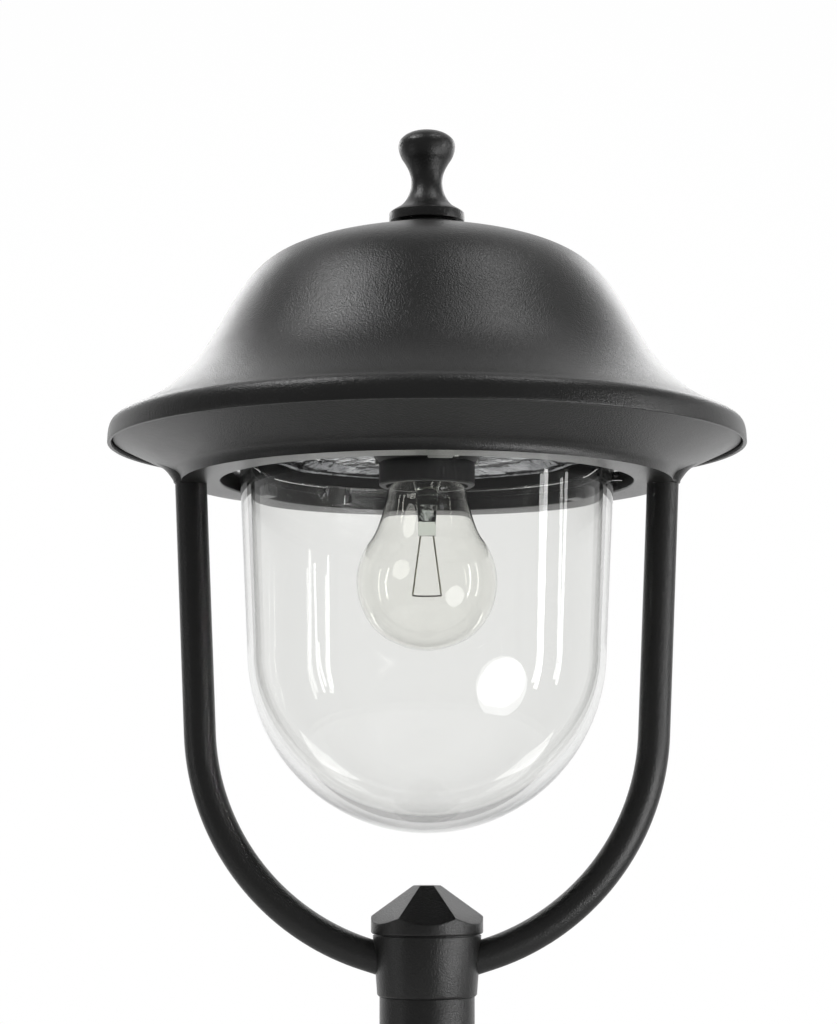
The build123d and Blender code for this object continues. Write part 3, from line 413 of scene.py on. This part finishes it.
@dataclass(frozen=True)
class ClearMoulding:
    """Clear moulded or blown wall with faint waves."""

    name: str
    tint: Sequence[float] = (0.938, 0.94, 0.93)
    ior: float = 1.44
    waves: float = 22.0
    depth: float = 0.00012

    def build(self) -> bpy.types.Material:
        """Make the material: clear all through, with low waves that bend reflections."""
        shader = Shader(self.name)
        wave = shader.noise(self.waves, 1.0, 0.4, (1, 1, 0.35))
        haze = shader.noise(160.0, 3.0, 0.6)
        shader.set(
            Base_Color=shader.blend(haze, self.tint, tuple(0.99 * c for c in self.tint)),
            Roughness=haze * 0.02,
            Transmission_Weight=1.0,
            IOR=self.ior,
        )
        shader.bump(wave, 0.07, self.depth)
        return shader.material


@dataclass(frozen=True)
class CrumpledSheet:
    """Bright reflector sheet with the dents and ripples of thin pressed metal."""

    name: str = "reflector_sheet"
    colour: Sequence[float] = (0.74, 0.75, 0.77)
    # Painted shade: darker, duller metal for the hollows of the dents.
    dent_shade: Sequence[float] = (0.3, 0.305, 0.32)

    def build(self) -> bpy.types.Material:
        """Make the material: metal whose sheen wanders, darkened by painted shade in the hollows of the
        dents.
        """
        shader = Shader(self.name)
        dent = shader.noise(55.0, 3.0, 0.6)
        ripple = shader.noise(240.0, 2.0, 0.5)
        shader.set(
            # Painted shade: the colour turns dark where the dent noise is low, the same noise that sinks the
            # surface in the bump below.
            Base_Color=shader.blend(dent.ramp(0.35, 0.7), self.dent_shade, self.colour),
            Metallic=1.0,
            Roughness=ripple * 0.12 + 0.16,
        )
        shader.bump(dent * 0.8 + ripple * 0.2, 0.9, 0.004)
        return shader.material


@dataclass(frozen=True)
class PlainMetal:
    """Plated or pressed metal with drawing marks."""

    name: str
    colour: Sequence[float]
    roughness: float = 0.3
    marks: float = 600.0

    def build(self) -> bpy.types.Material:
        """Make the material: fine marks in gloss and a little staining in colour."""
        shader = Shader(self.name)
        stain = shader.noise(90.0, 4.0, 0.6)
        mark = shader.noise(self.marks, 2.0, 0.5, (1, 1, 0.15))
        shader.set(
            Base_Color=shader.blend(stain, self.colour, tuple(0.78 * c for c in self.colour)),
            Metallic=1.0,
            Roughness=mark * 0.15 + (self.roughness - 0.07),
        )
        shader.bump(mark, 0.25, 0.00005)
        return shader.material


@dataclass(frozen=True)
class PlainMoulding:
    """Opaque moulded plastic, rubber or glazed insulator."""

    name: str
    colour: Sequence[float]
    roughness: float = 0.5
    grain: float = 900.0

    def build(self) -> bpy.types.Material:
        """Make the material: an even colour with slight flow marks and a matt grain."""
        shader = Shader(self.name)
        flow = shader.noise(60.0, 3.0, 0.55)
        grain = shader.noise(self.grain, 2.0, 0.5)
        lighter = tuple(min(1.0, 1.25 * c + 0.002) for c in self.colour)
        shader.set(
            Base_Color=shader.blend(flow, self.colour, lighter),
            Roughness=grain * 0.12 + (self.roughness - 0.06),
        )
        shader.bump(grain, 0.1, 0.00003)
        return shader.material


@dataclass(frozen=True)
class StripedSleeve:
    """Green wire sleeve with a yellow stripe and a plated tag at its end."""

    name: str = "earth_sleeving"
    green: Sequence[float] = (0.05, 0.3, 0.06)
    yellow: Sequence[float] = (0.75, 0.6, 0.05)
    plated: Sequence[float] = (0.6, 0.6, 0.57)
    pitch: float = 900.0
    tag_edge: Point = (-0.0085, -0.0075)

    def build(self) -> bpy.types.Material:
        """Make the material: slanting stripes along the wire, and metal beside the wire's end."""
        shader = Shader(self.name)
        across, up = shader.axis("X"), shader.axis("Z")
        stripe = ((across + up) * self.pitch).sine().ramp(0.1, 0.4)
        metal = across.ramp(*self.tag_edge)
        sleeve = shader.blend(stripe, self.green, self.yellow)
        shader.set(
            Base_Color=shader.blend(metal, sleeve, self.plated),
            Metallic=metal,
            Roughness=shader.noise(700.0) * 0.1 + 0.35,
        )
        return shader.material


@dataclass(frozen=True)
class PaleFloor:
    """Plain pale floor that keeps the lantern's shadow."""

    name: str = "pale_floor"
    darker: Sequence[float] = (0.76, 0.76, 0.755)
    lighter: Sequence[float] = (0.79, 0.79, 0.785)

    def build(self) -> bpy.types.Material:
        """Make the material: near-white and matt."""
        shader = Shader(self.name)
        fleck = shader.noise(40.0, 3.0, 0.5)
        shader.set(Base_Color=shader.blend(fleck, self.darker, self.lighter), Roughness=0.8)
        return shader.material


class Finishes:
    """Every finish on the lantern, built once."""

    def __init__(self) -> None:
        """Build all the materials."""
        self.coat = PowderCoat().build()
        self.bowl = ClearMoulding("clear_bowl").build()
        self.glass = ClearMoulding("lamp_glass", (1.0, 1.0, 0.98), 1.38, 30.0, 0.00005).build()
        self.stem = ClearMoulding("stem_glass", (0.8, 0.84, 0.8), 1.45, 500.0, 0.008).build()
        self.reflector = CrumpledSheet().build()
        self.steel = PlainMetal("zinc_steel", (0.6, 0.6, 0.58), 0.32).build()
        self.nickel = PlainMetal("lamp_metal", (0.74, 0.73, 0.62), 0.28).build()
        self.brass = PlainMetal("pressed_brass", (0.8, 0.62, 0.3), 0.3).build()
        self.tungsten = PlainMetal("tungsten_wire", (0.3, 0.29, 0.28), 0.4).build()
        self.plastic = PlainMoulding("black_moulding", (0.009, 0.009, 0.009), 0.5).build()
        self.rubber = PlainMoulding("black_rubber", (0.012, 0.012, 0.012), 0.7).build()
        self.pale = PlainMoulding("pale_moulding", (0.82, 0.81, 0.76), 0.4).build()
        self.sleeving = PlainMoulding("wire_sleeving", (0.8, 0.78, 0.72), 0.5).build()
        self.earth = StripedSleeve().build()
        self.glaze = PlainMoulding("dark_glaze", (0.04, 0.035, 0.05), 0.15).build()


def fit(
    piece: bpy.types.Object, finish: bpy.types.Material, body: Body, slot: str, *stands_for: str
) -> None:
    """Dress a new piece and hang it on its body.

    Args:
        piece: The piece, already in place.
        finish: Its material.
        body: The body it rides on.
        slot: The record's slot for its finish; not used.
        stands_for: CAD nodes that it replaces.
    """
    piece.data.materials.clear()
    piece.data.materials.append(finish)
    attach(piece, body.value)
    if stands_for:
        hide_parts(*stands_for)
    log.info("piece %s on %s, %d faces", piece.name, body.value, len(piece.data.polygons))


def repaint(finish: bpy.types.Material, *nodes: str) -> None:
    """Give carried-over CAD nodes a finish."""
    for node in nodes:
        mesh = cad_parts[node].data
        mesh.materials.clear()
        mesh.materials.append(finish)
        log.info("node %s repainted %s", node, finish.name)


# ---- sub-assemblies -----------------------------------------------------------------------------
@dataclass
class Roof:
    """Domed roof shell with its rolled lip, and the turned finial that holds it down."""

    wall: float = 1.6
    top: float = 406.3
    flat_radius: float = 15.0
    radius: float = 137.3
    lip: float = 308.7
    hole: float = 4.3
    curve: tuple[Point, ...] = (
        (36.0, 400.8), (56.0, 395.0), (69.6, 388.0), (80.7, 376.0), (90.1, 360.0), (101.5, 342.0),
        (116.6, 328.0), (131.0, 320.1), (135.6, 317.3), (137.2, 311.5),
    )
    finial_ball: tuple[Point, ...] = (
        (0.0, 448.7), (8.8, 447.0), (12.35, 443.0), (12.1, 439.5), (9.9, 434.9),
    )
    finial_neck: tuple[Point, ...] = (
        (9.5, 434.2), (7.6, 430.4), (6.8, 426.3), (7.5, 421.3), (12.2, 414.5),
    )
    finial_foot: tuple[Point, ...] = (
        (12.2, 414.5), (15.1, 412.8), (16.45, 411.8), (16.45, 407.6), (4.3, 407.6), (4.3, 431.0),
        (0.0, 433.0),
    )

    def shell(self) -> bpy.types.Object:
        """Roof surface: the outer curve, a rounded lip edge and the curve inside it, spun round."""
        points = [(self.flat_radius, self.top), *self.curve, (self.radius, self.lip)]
        outer = spline(points, (1, -0.25), (0, -1), 150)
        crown = [(radius, self.top) for radius in (self.hole, self.hole + 1.5, self.flat_radius - 4)]
        inner = offset(outer, -self.wall)
        inner = inner[inner[:, 0] > self.flat_radius - 1]
        edge = arc((self.radius - self.wall / 2, self.lip), (self.wall / 2, 0.5), 0, -180, 7)[1:-1]
        under = [(radius, self.top - self.wall) for radius in (self.flat_radius - 2, self.hole)]
        line = np.concatenate([crown, outer, edge, inner[::-1], under])
        return turned("roof_dome", line, 288, hollow=True, crease=50)

    def knob(self) -> bpy.types.Object:
        """Finial surface: a flattened ball over a small ridge, a waist and a stepped foot."""
        ball = spline(self.finial_ball, (1, 0), (-0.8, -1), 40)
        neck = spline(self.finial_neck, (-0.6, -1), (1, -0.7), 40)
        foot = softened(self.finial_foot, 0.35)[1:]
        return turned("finial_knob", np.concatenate([ball, neck, foot]), 128, crease=24)

    def dress(self, finishes: Finishes) -> None:
        """Build and dress the roof's pieces."""
        fit(self.shell(), finishes.coat, Body.ROOF, "black_coat", "roof_shell")
        fit(self.knob(), finishes.coat, Body.FINIAL, "black_coat", "finial")
        repaint(finishes.rubber, "finial_washer")


@dataclass
class Arm:
    """One bent tube arm from the hub up to the ring."""

    side: int
    radius: float = 6.85
    bend: float = 102.0
    lean: float = 2.6
    entry: float = 17.5
    hub_point: Point = (25.7, 92.4)
    top_point: Point = (101.86, 293.0)
    inner_x: float = 15.2

    def path(self) -> np.ndarray:
        """Centre line: straight from the hub, one arc of the bend radius and straight up to the ring.

        The two straights are tangent to the arc, so it starts and ends at r tan(turn / 2) from the
        corner where they would meet.

        Returns:
            Points of X and Z in millimetres.
        """
        entry, lean = radians(self.entry), radians(self.lean)
        low = np.array([cos(entry), sin(entry)])
        high = np.array([sin(lean), cos(lean)])
        start, end = np.array(self.hub_point), np.array(self.top_point)
        reach = np.linalg.solve(np.stack([low, -high], axis=1), end - start)[0]
        corner = start + reach * low
        turn = radians(90) - entry - lean
        trim = self.bend * tan(turn / 2)
        first, last = corner - trim * low, corner + trim * high
        centre = first + self.bend * np.array([-low[1], low[0]])
        angle = np.linspace(entry - pi / 2, entry - pi / 2 + turn, 40)
        bow = centre + self.bend * np.stack([np.cos(angle), np.sin(angle)], axis=1)
        inner = start + (self.inner_x - start[0]) / low[0] * low
        straight_in = inner + np.linspace(0, 1, 8)[:, None] * (first - inner)
        straight_up = last + np.linspace(0, 1, 16)[:, None] * (end - last)
        return np.concatenate([straight_in[:-1], bow, straight_up[1:]])

    def tube(self) -> bpy.types.Object:
        """Arm surface: a round bar along the centre line."""
        return swept(f"arm_{hand(self.side)}", self.path() * np.array([self.side, 1]), self.radius, 64)

    def dress(self, finishes: Finishes) -> None:
        """Build and dress the arm."""
        fit(self.tube(), finishes.coat, Body.HEAD, "black_coat", f"{hand(self.side)}_arm")


@dataclass
class Hub:
    """Tapered hub over the post sleeve, with a six-sided pointed cap."""

    cap_seat: float = 101.1
    cap_radius: float = 23.75
    cap_corner: float = 5.8
    cap_corner_height: float = 108.4
    cap_tip: float = 121.3
    cap_ease: float = 1.0
    cap_eave: tuple[Point, ...] = ((0.0, -0.35), (-0.12, 0.0))
    facet_start: float = 0.5
    facet_shares: tuple[float, ...] = (0.0, 0.35, 0.7, 0.97)
    drum_section: tuple[Point, ...] = (
        (10.0, 50.0), (16.0, 50.0), (16.0, 75.0), (20.3, 75.0), (21.1, 75.8), (23.0, 100.5), (22.4, 100.5),
        (22.4, 101.1), (14.0, 101.1), (14.0, 82.0), (10.0, 82.0), (10.0, 60.0),
    )
    sleeve_section: tuple[Point, ...] = (
        (17.0, 20.0), (17.0, 0.0), (19.3, 0.0), (20.1, 0.8), (20.1, 75.0), (16.05, 75.0), (16.05, 50.0),
        (17.0, 50.0), (17.0, 30.0),
    )
    ease: float = 0.3

    def cap(self) -> bpy.types.Object:
        """Cap surface: a short drum cut by six planes that rise to a small flat hexagon.

        Each plane's height at radius r and angle a from its middle is z = tip - (r cos a - p) s, with
        p the hexagon's half width and s the slope, and the drum's wall stops where it meets the planes.

        Returns:
            The new object.
        """
        sides, per = 6, 24
        angle = np.linspace(0, 2 * pi, sides * per, endpoint=False)
        local = (angle % (pi / 3)) - pi / 6
        flat = self.cap_corner * cos(pi / 6)
        edge_slope = (self.cap_tip - self.cap_corner_height) / (self.cap_radius - self.cap_corner)
        slope = edge_slope / cos(pi / 6)

        def facet(radius: np.ndarray | float) -> np.ndarray:
            """Height of the six planes at a radius."""
            return self.cap_tip - (radius * np.cos(local) - flat) * slope

        def ring(radius: np.ndarray | float, height: np.ndarray | float) -> np.ndarray:
            """Points of one closed row."""
            return np.stack([radius * np.cos(angle), radius * np.sin(angle), height + 0 * angle], axis=-1)

        rim, tip_radius = facet(self.cap_radius), flat / np.cos(local)
        ease = self.cap_ease
        foot = arc((self.cap_radius - ease, self.cap_seat + ease), (ease, ease), -90, 0, 5)
        rows = [ring(0.0, self.cap_seat)]
        rows += [ring(r, z) for r, z in foot]
        rows += [ring(self.cap_radius + out, rim + up) for out, up in self.cap_eave]
        reach = self.cap_radius - self.facet_start
        for share in self.facet_shares:
            radius = reach + (tip_radius - reach) * share
            rows.append(ring(radius, facet(radius)))
        rows += [ring(tip_radius - 0.15, self.cap_tip), ring(0.0, self.cap_tip)]
        return skin("hub_point_cap", np.array(rows), around_rows=False, crease=14)

    def drum(self) -> bpy.types.Object:
        """Hub surface: a cone with an eased foot, a thin neck under the cap and a spigot below."""
        return turned("hub_drum", softened(self.drum_section, self.ease), 144, hollow=True, crease=30)

    def sleeve(self) -> bpy.types.Object:
        """Sleeve surface: a plain tube with an eased mouth and a shoulder that stops the post."""
        return turned("post_tube", softened(self.sleeve_section, self.ease), 144, hollow=True, crease=30)

    def dress(self, finishes: Finishes) -> None:
        """Build and dress the hub's pieces."""
        fit(self.cap(), finishes.coat, Body.HEAD, "black_coat", "hub_cap")
        fit(self.drum(), finishes.coat, Body.HEAD, "black_coat", "hub")
        fit(self.sleeve(), finishes.coat, Body.HEAD, "black_coat", "post_sleeve")
        repaint(finishes.steel, "post_grub_screws", "hub_set_screws", "arm_grub_screws")


@dataclass
class Ring:
    """Cast carrier ring: a flat annulus, a cove out to its edge, arm sockets and three tabs."""

    bottom: float = 293.0
    opening: float = 89.0
    flat: float = 105.6
    edge: Point = (135.0, 310.2)
    cove: float = 5.5
    cove_slope: float = 25.0
    upper: tuple[Point, ...] = (
        (135.0, 313.2), (130.5, 313.2), (105.6, 301.4), (102.6, 296.5), (92.5, 296.5), (92.5, 306.4),
        (89.0, 306.4),
    )
    ease: float = 0.8
    arm_x: float = 101.86
    arm_ease: float = 0.4
    flare: tuple[Point, ...] = ((7.5, 293.4), (8.4, 295.3), (10.3, 297.8), (12.6, 299.9), (15.0, 301.5))
    tab_angles: tuple[float, ...] = (33.5, 153.5, 273.5)
    tab_half: float = 5.0
    tab_top: float = 297.4
    tab_ease: float = 0.5
    tab_rows: tuple[Point, ...] = ((81.9, 0.0), (81.9, 0.88), (82.2, 1.0), (89.6, 1.0), (89.6, 0.0))

    def casting(self) -> bpy.types.Object:
        """Ring surface: annulus, cove and rim outside, the channel wall inside, spun round."""
        turn = 90 - self.cove_slope
        cove = arc((self.flat + self.cove, self.bottom), (-self.cove, self.cove), 0, turn, 14)
        line = np.concatenate([
            arc((self.opening + self.ease, self.bottom + self.ease), (self.ease,) * 2, 180, 270, 5),
            [(self.flat - 0.3, self.bottom)],
            cove,
            [(self.edge[0] - 0.6, self.edge[1] - 0.35)],
            [self.edge, *self.upper],
        ])
        return turned("ring_casting", line, 288, hollow=True, crease=30)

    def socket(self, side: int) -> bpy.types.Object:
        """Arm socket: a short collar whose side curves out to run into the cove."""
        side_line = spline(self.flare, (0, 1), (1, 0.5), 24)
        ease = self.arm_ease
        foot = arc((self.flare[0][0] - ease, self.bottom + ease), (ease, ease), -90, 0, 4)
        line = np.concatenate([[(0, self.bottom)], foot, side_line[1:], [(0, self.flare[-1][1])]])
        grid = turned_grid(line, 96, (side * self.arm_x, 0.0))
        return skin(f"arm_socket_{hand(side)}", grid, around_rows=False, crease=40)

    def tab(self, number: int, angle: float) -> bpy.types.Object:
        """Bayonet tab: a small block with eased edges that reaches in under the bowl's lugs.

        Its section is a rounded rectangle of width and height, carried along the radius. Each row
        has a radius and a share of the full section, so that the ends close and the inner one eases.

        Args:
            number: Which tab.
            angle: Its angle about the axis in degrees.

        Returns:
            The new object.
        """
        middle, half_high = (self.bottom + self.tab_top) / 2, (self.tab_top - self.bottom) / 2
        ease = self.tab_ease
        corners = [(-1, -1), (1, -1), (1, 1), (-1, 1)]
        section = np.concatenate([
            arc((sx * (self.tab_half - ease), middle + sz * (half_high - ease)), (ease, ease),
                180 + 90 * k, 270 + 90 * k, 4)
            for k, (sx, sz) in enumerate(corners)
        ])
        radii, share = np.array(self.tab_rows).T[..., None, None]
        turn = radians(angle)
        along, across = np.array([cos(turn), sin(turn)]), np.array([-sin(turn), cos(turn)])
        centre = np.array([0.0, middle])
        local = centre + (section - centre) * share
        flat = radii * along + local[..., :1] * across
        grid = np.concatenate([flat, local[..., 1:]], axis=-1)
        return skin(f"bayonet_tab_{number + 1}", grid, around_rows=False, crease=40)

    def dress(self, finishes: Finishes) -> None:
        """Build and dress the ring's pieces."""
        fit(self.casting(), finishes.coat, Body.HEAD, "black_coat", "carrier_ring")
        for side in (-1, 1):
            fit(self.socket(side), finishes.coat, Body.HEAD, "black_coat")
        for number, angle in enumerate(self.tab_angles):
            fit(self.tab(number, angle), finishes.coat, Body.HEAD, "black_coat")
        repaint(finishes.rubber, "roof_seal", "bowl_gasket")


@dataclass
class Bowl:
    """Clear bell bowl with a lug ring, entry notches and stop ribs at its rim."""

    waist: float = 76.9
    waist_height: float = 221.0
    bottom: float = 143.1
    wall: float = 2.7
    base_wall: float = 5.6
    rim: float = 80.6
    rim_inner: float = 76.2
    rim_top: float = 301.0
    lug: float = 84.3
    lug_bottom: float = 297.7
    notch: float = 14.0
    notch_angles: tuple[float, ...] = (2.0, 122.0, 242.0)
    tab_angles: tuple[float, ...] = (33.5, 153.5, 273.5)
    side_top: float = 297.0
    rib_heights: tuple[float, ...] = (293.9, 295.8, 297.6)
    rib_radius: float = 83.9
    rib_half: float = 1.0
    tab_half: float = 5.0
    play: float = 0.5
    step: float = 0.06
    lug_ease: float = 0.3
    rim_ease: float = 0.4

    def glass(self) -> bpy.types.Object:
        """Bowl surface: a closed wall spun round, with lugs and ribs where the radius steps out.

        The lower halves are quarter ellipses and the sides straight lines. Round the rim the radius
        depends on the angle: it steps from wall to lug at each notch's edges and at each rib.

        Returns:
            The new object.
        """
        lug_half, rib_half, tab_half = (
            degrees(asin(half / self.lug)) for half in (self.notch / 2, self.rib_half, self.tab_half)
        )
        ribs = [a - tab_half - rib_half - self.play for a in self.notch_angles]
        ribs += [a + tab_half + rib_half + self.play for a in self.tab_angles]
        marks = [
            a + s * (h + d)
            for group, h in ((self.notch_angles, lug_half), (ribs, rib_half))
            for a in group for s in (-1, 1) for d in (-self.step, self.step)
        ]
        angle = np.unique(np.round(np.concatenate([np.arange(0, 360, 1.25), np.array(marks) % 360]), 4))
        lugged = ~near(angle, self.notch_angles, lug_half)
        ribbed = near(angle, ribs, rib_half)
        turn = np.radians(angle)

        def row(radius: np.ndarray | float, height: float) -> np.ndarray:
            """Points of one closed row of the wall."""
            reach = np.broadcast_to(radius, turn.shape)
            return np.stack([reach * np.cos(turn), reach * np.sin(turn), np.full_like(turn, height)], axis=-1)

        def wall_at(height: float) -> float:
            """Outer radius of the straight side at a height."""
            rise = (self.rim - self.waist) * (height - self.waist_height)
            return min(self.rim, self.waist + rise / (self.side_top - self.waist_height))

        def rib(height: float) -> np.ndarray:
            """Radius at a height below the lugs, stepped out at the ribs."""
            return np.where(ribbed, self.rib_radius, wall_at(height))

        def lug(radius: float) -> np.ndarray:
            """Radius among the lugs, stepped in at the notches."""
            return np.where(lugged, radius, self.rim)

        rib_low, lug_low, top = self.rib_heights[0], self.lug_bottom, self.rim_top
        outer_low = arc((0, self.waist_height), (self.waist, self.waist_height - self.bottom), -90, 0, 60)
        side = np.linspace(outer_low[-1], (self.rim, self.side_top), 24)[1:]
        side = side[side[:, 1] < rib_low - 0.5]
        collar = [
            (wall_at(rib_low), rib_low - 0.02),
            *((rib(height), height) for height in self.rib_heights),
            (np.maximum(rib(lug_low), lug(self.lug - self.lug_ease)), lug_low),
            (lug(self.lug), lug_low + self.lug_ease),
            (lug(self.lug), top - self.rim_ease),
            (lug(self.lug - self.rim_ease), top),
            (self.rim - 0.2, top),
            (self.rim_inner + 0.6, top),
        ]
        inner_depth = self.waist_height - self.bottom - self.base_wall
        inner_low = arc((0, self.waist_height), (self.waist - self.wall, inner_depth), 0, -90, 60)
        inner_side = np.linspace((self.rim_inner, top - 0.6), inner_low[0], 24)[:-1]
        section = (*outer_low, *side, *collar, *inner_side, *inner_low)
        rows = [row(radius, height) for radius, height in section]
        return skin("bell_bowl", np.array(rows), around_rows=False, crease=28)

    def dress(self, finishes: Finishes) -> None:
        """Build and dress the bowl."""
        fit(self.glass(), finishes.bowl, Body.BOWL, "clear_bowl", "bowl")


@dataclass
class Lamp:
    """Clear pear-shaped lamp in its black holder, with the reflector plate above."""

    ball: float = 30.3
    centre: float = 251.0
    join: float = 269.3
    wall: float = 0.45
    top: float = 305.0
    neck: tuple[Point, ...] = ((12.2, 296.5), (14.6, 294.2), (16.5, 291.8), (17.6, 287.5), (20.0, 278.2))
    seat: float = 306.4
    sheet: float = 0.8
    plate_rows: tuple[tuple[float, float, int], ...] = ((18.5, 72.5, 60), (73.0, 77.5, 16), (78.5, 97.0, 20))
    bead_height: float = 2.5
    bead_radius: float = 60.0
    bead_half: float = 9.0
    lip_depth: float = 0.9
    lip_radius: float = 75.2
    lip_half: float = 0.6

    def _line(self, inset: float) -> np.ndarray:
        """Half section of the glass drawn inwards by an inset, from the neck's top to the lowest point."""
        ball = self.ball - inset
        join = self.centre + (self.join - self.centre) * ball / self.ball
        reach = (ball**2 - (join - self.centre) ** 2) ** 0.5
        neck = [(radius - inset, height) for radius, height in self.neck]
        shoulder = spline([*neck, (reach, join)], (1, -0.6), (join - self.centre, -reach), 48)
        start = degrees(asin((join - self.centre) / ball))
        dome = arc((0, self.centre), (ball, ball), start, -90, 72)[1:]
        return np.concatenate([[(neck[0][0], self.top - inset)], shoulder, dome])

    def glass(self) -> bpy.types.Object:
        """Lamp surface: the outer section down and the inner section back up, closed over the neck."""
        outer, inner = self._line(0.0), self._line(self.wall)
        line = np.concatenate([[(0.0, self.top)], outer, inner[::-1], [(0.0, self.top - self.wall)]])
        return turned("lamp_envelope", line, 144, crease=40)

    def plate(self) -> bpy.types.Object:
        """Reflector surface: a flat sheet with one raised round bead and shallow hammered waves.

        The height is the seat plus a half-cosine bead and crossed waves, less a narrow lip that hangs
        down at the bowl's rim. The waves fade out towards the hole and the screws.

        Returns:
            The new object.
        """
        radius = np.concatenate([np.linspace(*span) for span in self.plate_rows])
        angle = np.linspace(0, 2 * pi, 240, endpoint=False)
        r, a = np.meshgrid(radius, angle, indexing="ij")
        bead = self.bead_height * np.cos(np.clip((r - self.bead_radius) / self.bead_half, -1, 1) * pi / 2)
        fade_out, fade_in = np.clip((88 - r) / 10, 0, 1), np.clip((r - 22) / 6, 0, 1)
        wave = 0.25 * np.sin(r * 0.35 + 2 * np.sin(3 * a)) * np.sin(5 * a + r * 0.12) * fade_out * fade_in
        lip = self.lip_depth * np.exp(-(((r - self.lip_radius) / self.lip_half) ** 2))
        low = np.stack([r * np.cos(a), r * np.sin(a), self.seat + bead + wave - lip], axis=-1)
        high = low + np.array([0, 0, self.sheet])
        return skin("reflector_disc", np.concatenate([low, high[::-1]]), around_rows=True, crease=60)

    def dress(self, finishes: Finishes) -> None:
        """Build and dress the lamp, its holder and the plate."""
        fit(self.glass(), finishes.glass, Body.LAMP, "lamp_glass", "lamp_glass")
        fit(self.plate(), finishes.reflector, Body.HEAD, "bright_aluminium", "reflector_plate")
        repaint(finishes.plastic, "lampholder_body")
        repaint(finishes.stem, "lamp_stem")
        repaint(finishes.brass, "lampholder_shell", "lampholder_contact")
        repaint(finishes.nickel, "lamp_cap", "lamp_contact", "lamp_leads")
        repaint(finishes.glaze, "lamp_insulator")
        repaint(finishes.tungsten, "lamp_filament")
        repaint(finishes.pale, "terminal_block")
        repaint(finishes.sleeving, "lampholder_leads")
        repaint(finishes.earth, "earth_lead")
        repaint(
            finishes.steel, "plate_screws", "roof_bridge", "bridge_screws", "roof_stud", "stud_nuts",
            "lampholder_screws", "terminal_screws", "earth_screw",
        )


# ---- studio -------------------------------------------------------------------------------------
class Shape(Enum):
    """Outlines that a light can have."""

    ROUND = "DISK"
    PANEL = "RECTANGLE"


@dataclass
class Softbox:
    """One soft light aimed at the lantern."""

    name: str
    place: tuple[float, float, float]
    size: Point
    power: float
    shape: Shape = Shape.PANEL
    aim: tuple[float, float, float] = (0.0, 0.0, 0.26)

    def build(self) -> None:
        """Add the light to the scene."""
        data = bpy.data.lights.new(self.name, "AREA")
        data.shape = self.shape.value
        data.size = self.size[0]
        if self.shape is Shape.PANEL:
            data.size_y = self.size[1]
        data.energy = self.power
        lamp = bpy.data.objects.new(self.name, data)
        lamp.location = self.place
        lamp.rotation_euler = (Vector(self.aim) - Vector(self.place)).to_track_quat("-Z", "Y").to_euler()
        bpy.context.scene.collection.objects.link(lamp)


@dataclass
class Studio:
    """Surroundings that whiten towards the back, a pale floor, soft lights and the camera."""

    lens: float = 88.0
    tilt: float = 6.523
    eye: tuple[float, float, float] = (-0.00363, -1.0725, 0.158)
    floor_radius: float = 310.0
    floor_top: float = -0.3
    floor_under: float = -2.0
    front: float = 0.2
    back: float = 1.0

    def camera(self) -> None:
        """Place the camera where the photograph was taken from."""
        data = bpy.data.cameras.new("view")
        data.sensor_width = 36.0
        data.lens = self.lens
        data.clip_start, data.clip_end = 0.05, 50.0
        camera = bpy.data.objects.new("view", data)
        camera.location = self.eye
        camera.rotation_euler = (radians(90 + self.tilt), 0, 0)
        bpy.context.scene.collection.objects.link(camera)
        bpy.context.scene.camera = camera

    def surroundings(self) -> None:
        """Light the room by direction: dim in front of the lantern, rising to white behind it."""
        world = bpy.data.worlds.new("white_room")
        bpy.context.scene.world = world
        world.use_nodes = True
        tree = world.node_tree
        tree.nodes.clear()
        place = tree.nodes.new("ShaderNodeTexCoord")
        apart = tree.nodes.new("ShaderNodeSeparateXYZ")
        level = tree.nodes.new("ShaderNodeMapRange")
        light = tree.nodes.new("ShaderNodeBackground")
        output = tree.nodes.new("ShaderNodeOutputWorld")
        level.interpolation_type = "SMOOTHSTEP"
        limits = {"From Min": 0.05, "From Max": 1.0, "To Min": self.front, "To Max": self.back}
        for key, value in limits.items():
            level.inputs[key].default_value = value
        light.inputs["Color"].default_value = (1.0, 1.0, 1.0, 1.0)
        for source, target in (
            (place.outputs["Generated"], apart.inputs[0]),
            (apart.outputs["Y"], level.inputs["Value"]),
            (level.outputs[0], light.inputs["Strength"]),
            (light.outputs[0], output.inputs["Surface"]),
        ):
            tree.links.new(source, target)

    def floor(self) -> None:
        """Round pale floor under the sleeve's mouth."""
        reach, top, under = self.floor_radius, self.floor_top, self.floor_under
        line = np.array([(0.0, top), (reach, top), (reach, under), (0.0, under)])
        disc = turned("floor", line, 96)
        disc.data.materials.append(PaleFloor().build())

    def lights(self) -> None:
        """A round light low on the right, panels overhead and behind, and narrow strips at the sides."""
        for light in (
            Softbox("round_right", (0.6, -0.51, -0.1), (0.49, 0.49), 2.8, Shape.ROUND, (0.0, 0.0, 0.2)),
            Softbox("over_left", (-0.68, -0.27, 1.38), (0.42, 0.42), 4.8),
            Softbox("over_right", (0.52, -0.28, 1.5), (0.5, 0.42), 2.7),
            Softbox("strip_right", (1.25, -0.35, 0.27), (0.07, 1.0), 3.0),
            Softbox("strip_far_right", (1.3, 0.02, 0.33), (0.06, 0.9), 1.2),
            Softbox("strip_left", (-1.23, -0.41, 0.0), (0.04, 0.56), 0.55),
            Softbox("rim_left", (-0.32, 0.53, 0.62), (0.2, 0.2), 0.4, aim=(0.0, 0.0, 0.36)),
            Softbox("rim_right", (0.32, 0.53, 0.62), (0.2, 0.2), 0.36, aim=(0.0, 0.0, 0.36)),
        ):
            light.build()

    def build(self) -> None:
        """Set up the whole studio."""
        self.camera()
        self.surroundings()
        self.floor()
        self.lights()
        bpy.context.scene.view_settings.view_transform = "Standard"


def main() -> None:
    """Dress the lantern and light it."""
    finishes = Finishes()
    for assembly in (Roof(), Ring(), Arm(1), Arm(-1), Hub(), Bowl(), Lamp()):
        assembly.dress(finishes)
    Studio().build()


if __name__ == "__main__":
    main()
